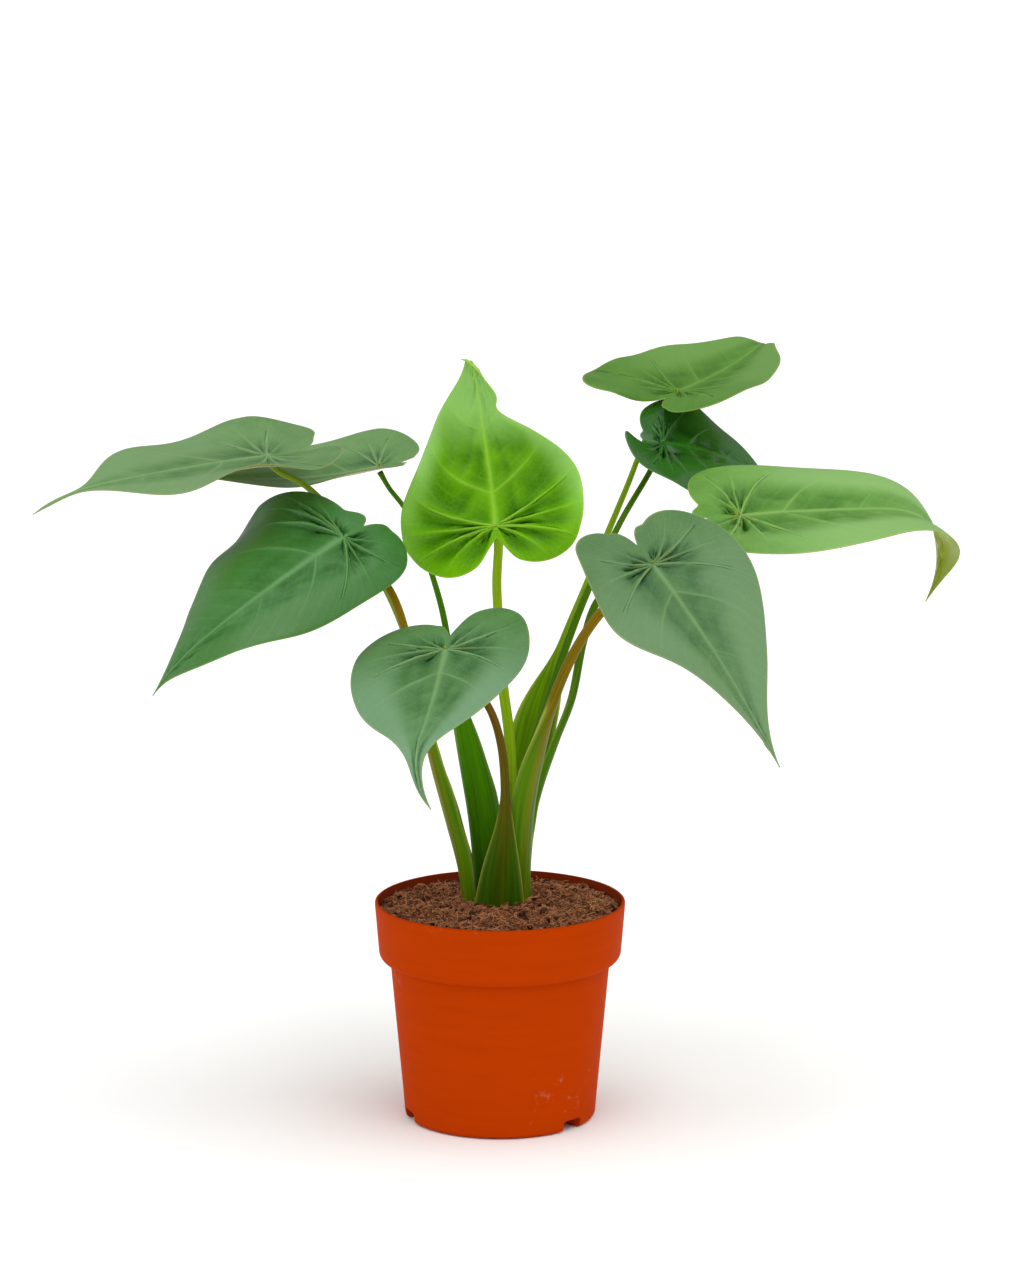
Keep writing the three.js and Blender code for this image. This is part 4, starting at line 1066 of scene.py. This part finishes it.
class SoilSettings(bpy.types.PropertyGroup):
    """What a user may change in the soil."""

    rings: IntProperty(name="Rings", description="Rings of faces on the top", default=56, min=8, max=90)
    crumb_size: FloatProperty(
        name="Crumb size", description="Radius of the largest crumbs", default=2.3 * MM, unit="LENGTH")
    crumb_density: FloatProperty(
        name="Crumb density", description="Crumbs on each square metre", default=150000, min=0)
    fibre_length: FloatProperty(
        name="Fibre length", description="Length of the longest coir threads", default=15 * MM, unit="LENGTH")
    fibre_density: FloatProperty(
        name="Fibre density", description="Coir threads on each square metre", default=180000, min=0)
    seed: IntProperty(name="Seed", description="Changes how the crumbs and threads lie", default=4)


class FoliageSettings(bpy.types.PropertyGroup):
    """What a user may change on the leaves."""

    quilting: FloatProperty(
        name="Quilting", description="How deep the blade dips between its veins", default=1, min=0, max=3,
        subtype="FACTOR")


class StageSettings(bpy.types.PropertyGroup):
    """Light and camera."""

    elevation: FloatProperty(
        name="Camera elevation", description="Height angle of the camera", default=math.radians(11.5),
        subtype="ANGLE")
    distance: FloatProperty(
        name="Camera distance", description="From the camera to the middle of the plant", default=2.5,
        unit="LENGTH")
    sky_high: FloatProperty(
        name="Overhead light", description="Strength of the tent's light from above", default=0.75, min=0)
    main: FloatProperty(
        name="Main light", description="Strength of the light from above the front", default=1.5, min=0)
    sky_low: FloatProperty(
        name="Level light", description="Strength of the tent's light from the front and back",
        default=0.25, min=0)
    sky_sides: FloatProperty(
        name="Side light", description="Extra strength of the tent's left and right walls",
        default=0.85, min=0)


# Operators

class PLANT_OT_pot(bpy.types.Operator):
    """Make the pot"""

    bl_idname = "plant.pot"
    bl_label = "Pot"

    def execute(self, context):
        settle(pot_object(context.scene.plant_pot), "pot_plastic", "pot")
        return {"FINISHED"}


class PLANT_OT_soil(bpy.types.Operator):
    """Make the soil with its crumbs, coir threads and moss"""

    bl_idname = "plant.soil"
    bl_label = "Soil"

    def execute(self, context):
        settings = context.scene.plant_soil
        earth = mix_material("damp_potting_mix", "#b07050", "#2c160e", 0.95)
        coir = mix_material("coir_fibre", "#e09a6c", "#64341f", 0.85)
        moss = mix_material("green_moss", "#90b82c", "#3c5a14", 0.8)
        settle(soil_object(settings, earth), "potting_mix", "soil")
        points, faces = soil_surface(settings.rings, settings.rings * 3)
        ground = open_ground(points, faces, 1.5)
        crumbs = grow("loose_crumbs", points, ground, crumb_tree(), earth, {
            "Density": settings.crumb_density, "Smallest": 0.45 * MM, "Largest": settings.crumb_size,
            "Unevenness": 1.6 * MM, "Seed": settings.seed})
        settle(crumbs, "potting_mix")
        threads = grow("coir_threads", points, open_ground(points, faces, 6), fibre_tree(), coir, {
            "Density": settings.fibre_density, "Length": settings.fibre_length, "Thickness": 0.17 * MM,
            "Curl": 8 * MM, "Seed": settings.seed + 1})
        settle(threads, "potting_mix")
        near_moss = [f for f in ground if math.dist(points[list(f), :2].mean(0), (MOSS_X, MOSS_Y)) < 4.2]
        tuft = grow("moss_tuft", points, near_moss, crumb_tree(), moss, {
            "Density": 4e6, "Smallest": 0.3 * MM, "Largest": 0.9 * MM, "Unevenness": 1 * MM,
            "Seed": settings.seed + 2})
        settle(tuft, "potting_mix")
        return {"FINISHED"}


class PLANT_OT_corm(bpy.types.Operator):
    """Give the buried corm its skin"""

    bl_idname = "plant.corm"
    bl_label = "Corm"

    def execute(self, context):
        skin = mix_material("dry_corm_skin", "#9a7448", "#4c3420", 0.8)
        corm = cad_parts["corm"]
        corm.data.materials.clear()
        corm.data.materials.append(skin)
        return {"FINISHED"}


class PLANT_OT_blades(bpy.types.Operator):
    """Make the nine leaf blades"""

    bl_idname = "plant.blades"
    bl_label = "Leaf blades"

    def execute(self, context):
        quilting = context.scene.plant_foliage.quilting
        slots = {"mid": "leaf_dark", "deep": "leaf_dark", "young": "leaf_young"}
        materials = {key: leaf_material("waxy_leaf_" + key, dict(zip(LEAF_TONE_PARTS, tone)))
                     for key, tone in LEAF_TONES.items()}
        for leaf in LEAVES:
            shaped = {**leaf, "quilt": leaf["quilt"] * quilting}
            blade = blade_object(shaped, materials[leaf["tone"]])
            settle(blade, slots.get(leaf["tone"], "leaf_green"), leaf["name"] + "_blade")
        return {"FINISHED"}


class PLANT_OT_stalks(bpy.types.Operator):
    """Make the nine sheathed stalks"""

    bl_idname = "plant.stalks"
    bl_label = "Stalks"

    def execute(self, context):
        materials = {key: stalk_material("fleshy_stalk_" + key, dict(zip(STALK_TONE_PARTS, tone)))
                     for key, tone in STALK_TONES.items()}
        slots = {"olive": "stalk_brown", "brown": "stalk_brown"}
        for leaf in LEAVES:
            stalk = stalk_object(leaf, materials[leaf["stalk"]])
            settle(stalk, slots.get(leaf["stalk"], "stalk_green"), leaf["name"] + "_stalk")
        return {"FINISHED"}


class PLANT_OT_stage(bpy.types.Operator):
    """Lay a pale floor, light it softly and place the camera"""

    bl_idname = "plant.stage"
    bl_label = "Stage"

    def execute(self, context):
        scene = context.scene
        settings = scene.plant_stage
        paper, tree = blank_material("matt_white_paper")
        finish_material(tree, {"Base Color": linear("#ffffff"), "Roughness": 0.9, "Specular IOR Level": 0.1})
        angles = np.linspace(0, 2 * np.pi, 64, endpoint=False)
        disc = [(FLOOR_RADIUS * math.cos(a), FLOOR_RADIUS * math.sin(a), FLOOR_Z) for a in angles]
        floor = mesh_object("studio_floor", disc, [tuple(range(64))], paper)

        scene.world = studio_sky(settings)

        sun = bpy.data.lights.new("main_light", "SUN")
        sun.energy = settings.main
        sun.angle = math.radians(SUN_SOFTNESS)
        lamp = bpy.data.objects.new("main_light", sun)
        lamp.rotation_euler = (math.radians(SUN_TILT), 0, math.radians(SUN_TURN))
        scene.collection.objects.link(lamp)

        lens = bpy.data.cameras.new("product_camera")
        lens.lens = LENS_MM
        lens.sensor_width = SENSOR_MM
        lens.clip_end = 100
        camera = bpy.data.objects.new("product_camera", lens)
        back = settings.distance * math.cos(settings.elevation)
        rise = settings.distance * math.sin(settings.elevation)
        camera.location = (TARGET_X * MM, -back, TARGET_Z * MM + rise)
        camera.rotation_euler = (math.pi / 2 - settings.elevation, 0, 0)
        scene.collection.objects.link(camera)
        scene.camera = camera
        scene.view_settings.view_transform = "Standard"
        return {"FINISHED"}


class PLANT_PT_build(bpy.types.Panel):
    """Lists the plant's pieces"""

    bl_label = "Potted Chinese taro"
    bl_idname = "PLANT_PT_build"
    bl_space_type = "VIEW_3D"
    bl_region_type = "UI"
    bl_category = "Plant"

    def draw(self, context):
        layout = self.layout
        for group, names in SETTING_NAMES.items():
            for name in names:
                layout.prop(getattr(context.scene, group), name)
        for operator in OPERATORS:
            layout.operator(operator.bl_idname)


SETTINGS = {
    "plant_pot": PotSettings,
    "plant_soil": SoilSettings,
    "plant_foliage": FoliageSettings,
    "plant_stage": StageSettings,
}
SETTING_NAMES = {key: list(group.__annotations__) for key, group in SETTINGS.items()}
OPERATORS = [PLANT_OT_stage, PLANT_OT_pot, PLANT_OT_soil, PLANT_OT_corm, PLANT_OT_blades, PLANT_OT_stalks]


def register():
    for item in [*SETTINGS.values(), *OPERATORS, PLANT_PT_build]:
        bpy.utils.register_class(item)
    for name, group in SETTINGS.items():
        setattr(bpy.types.Scene, name, PointerProperty(type=group))


def unregister():
    for name in SETTINGS:
        delattr(bpy.types.Scene, name)
    for item in reversed([*SETTINGS.values(), *OPERATORS, PLANT_PT_build]):
        bpy.utils.unregister_class(item)


def main():
    register()
    for operator in OPERATORS:
        group, name = operator.bl_idname.split(".")
        getattr(getattr(bpy.ops, group), name)()
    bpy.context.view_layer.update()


if __name__ == "__main__":
    main()
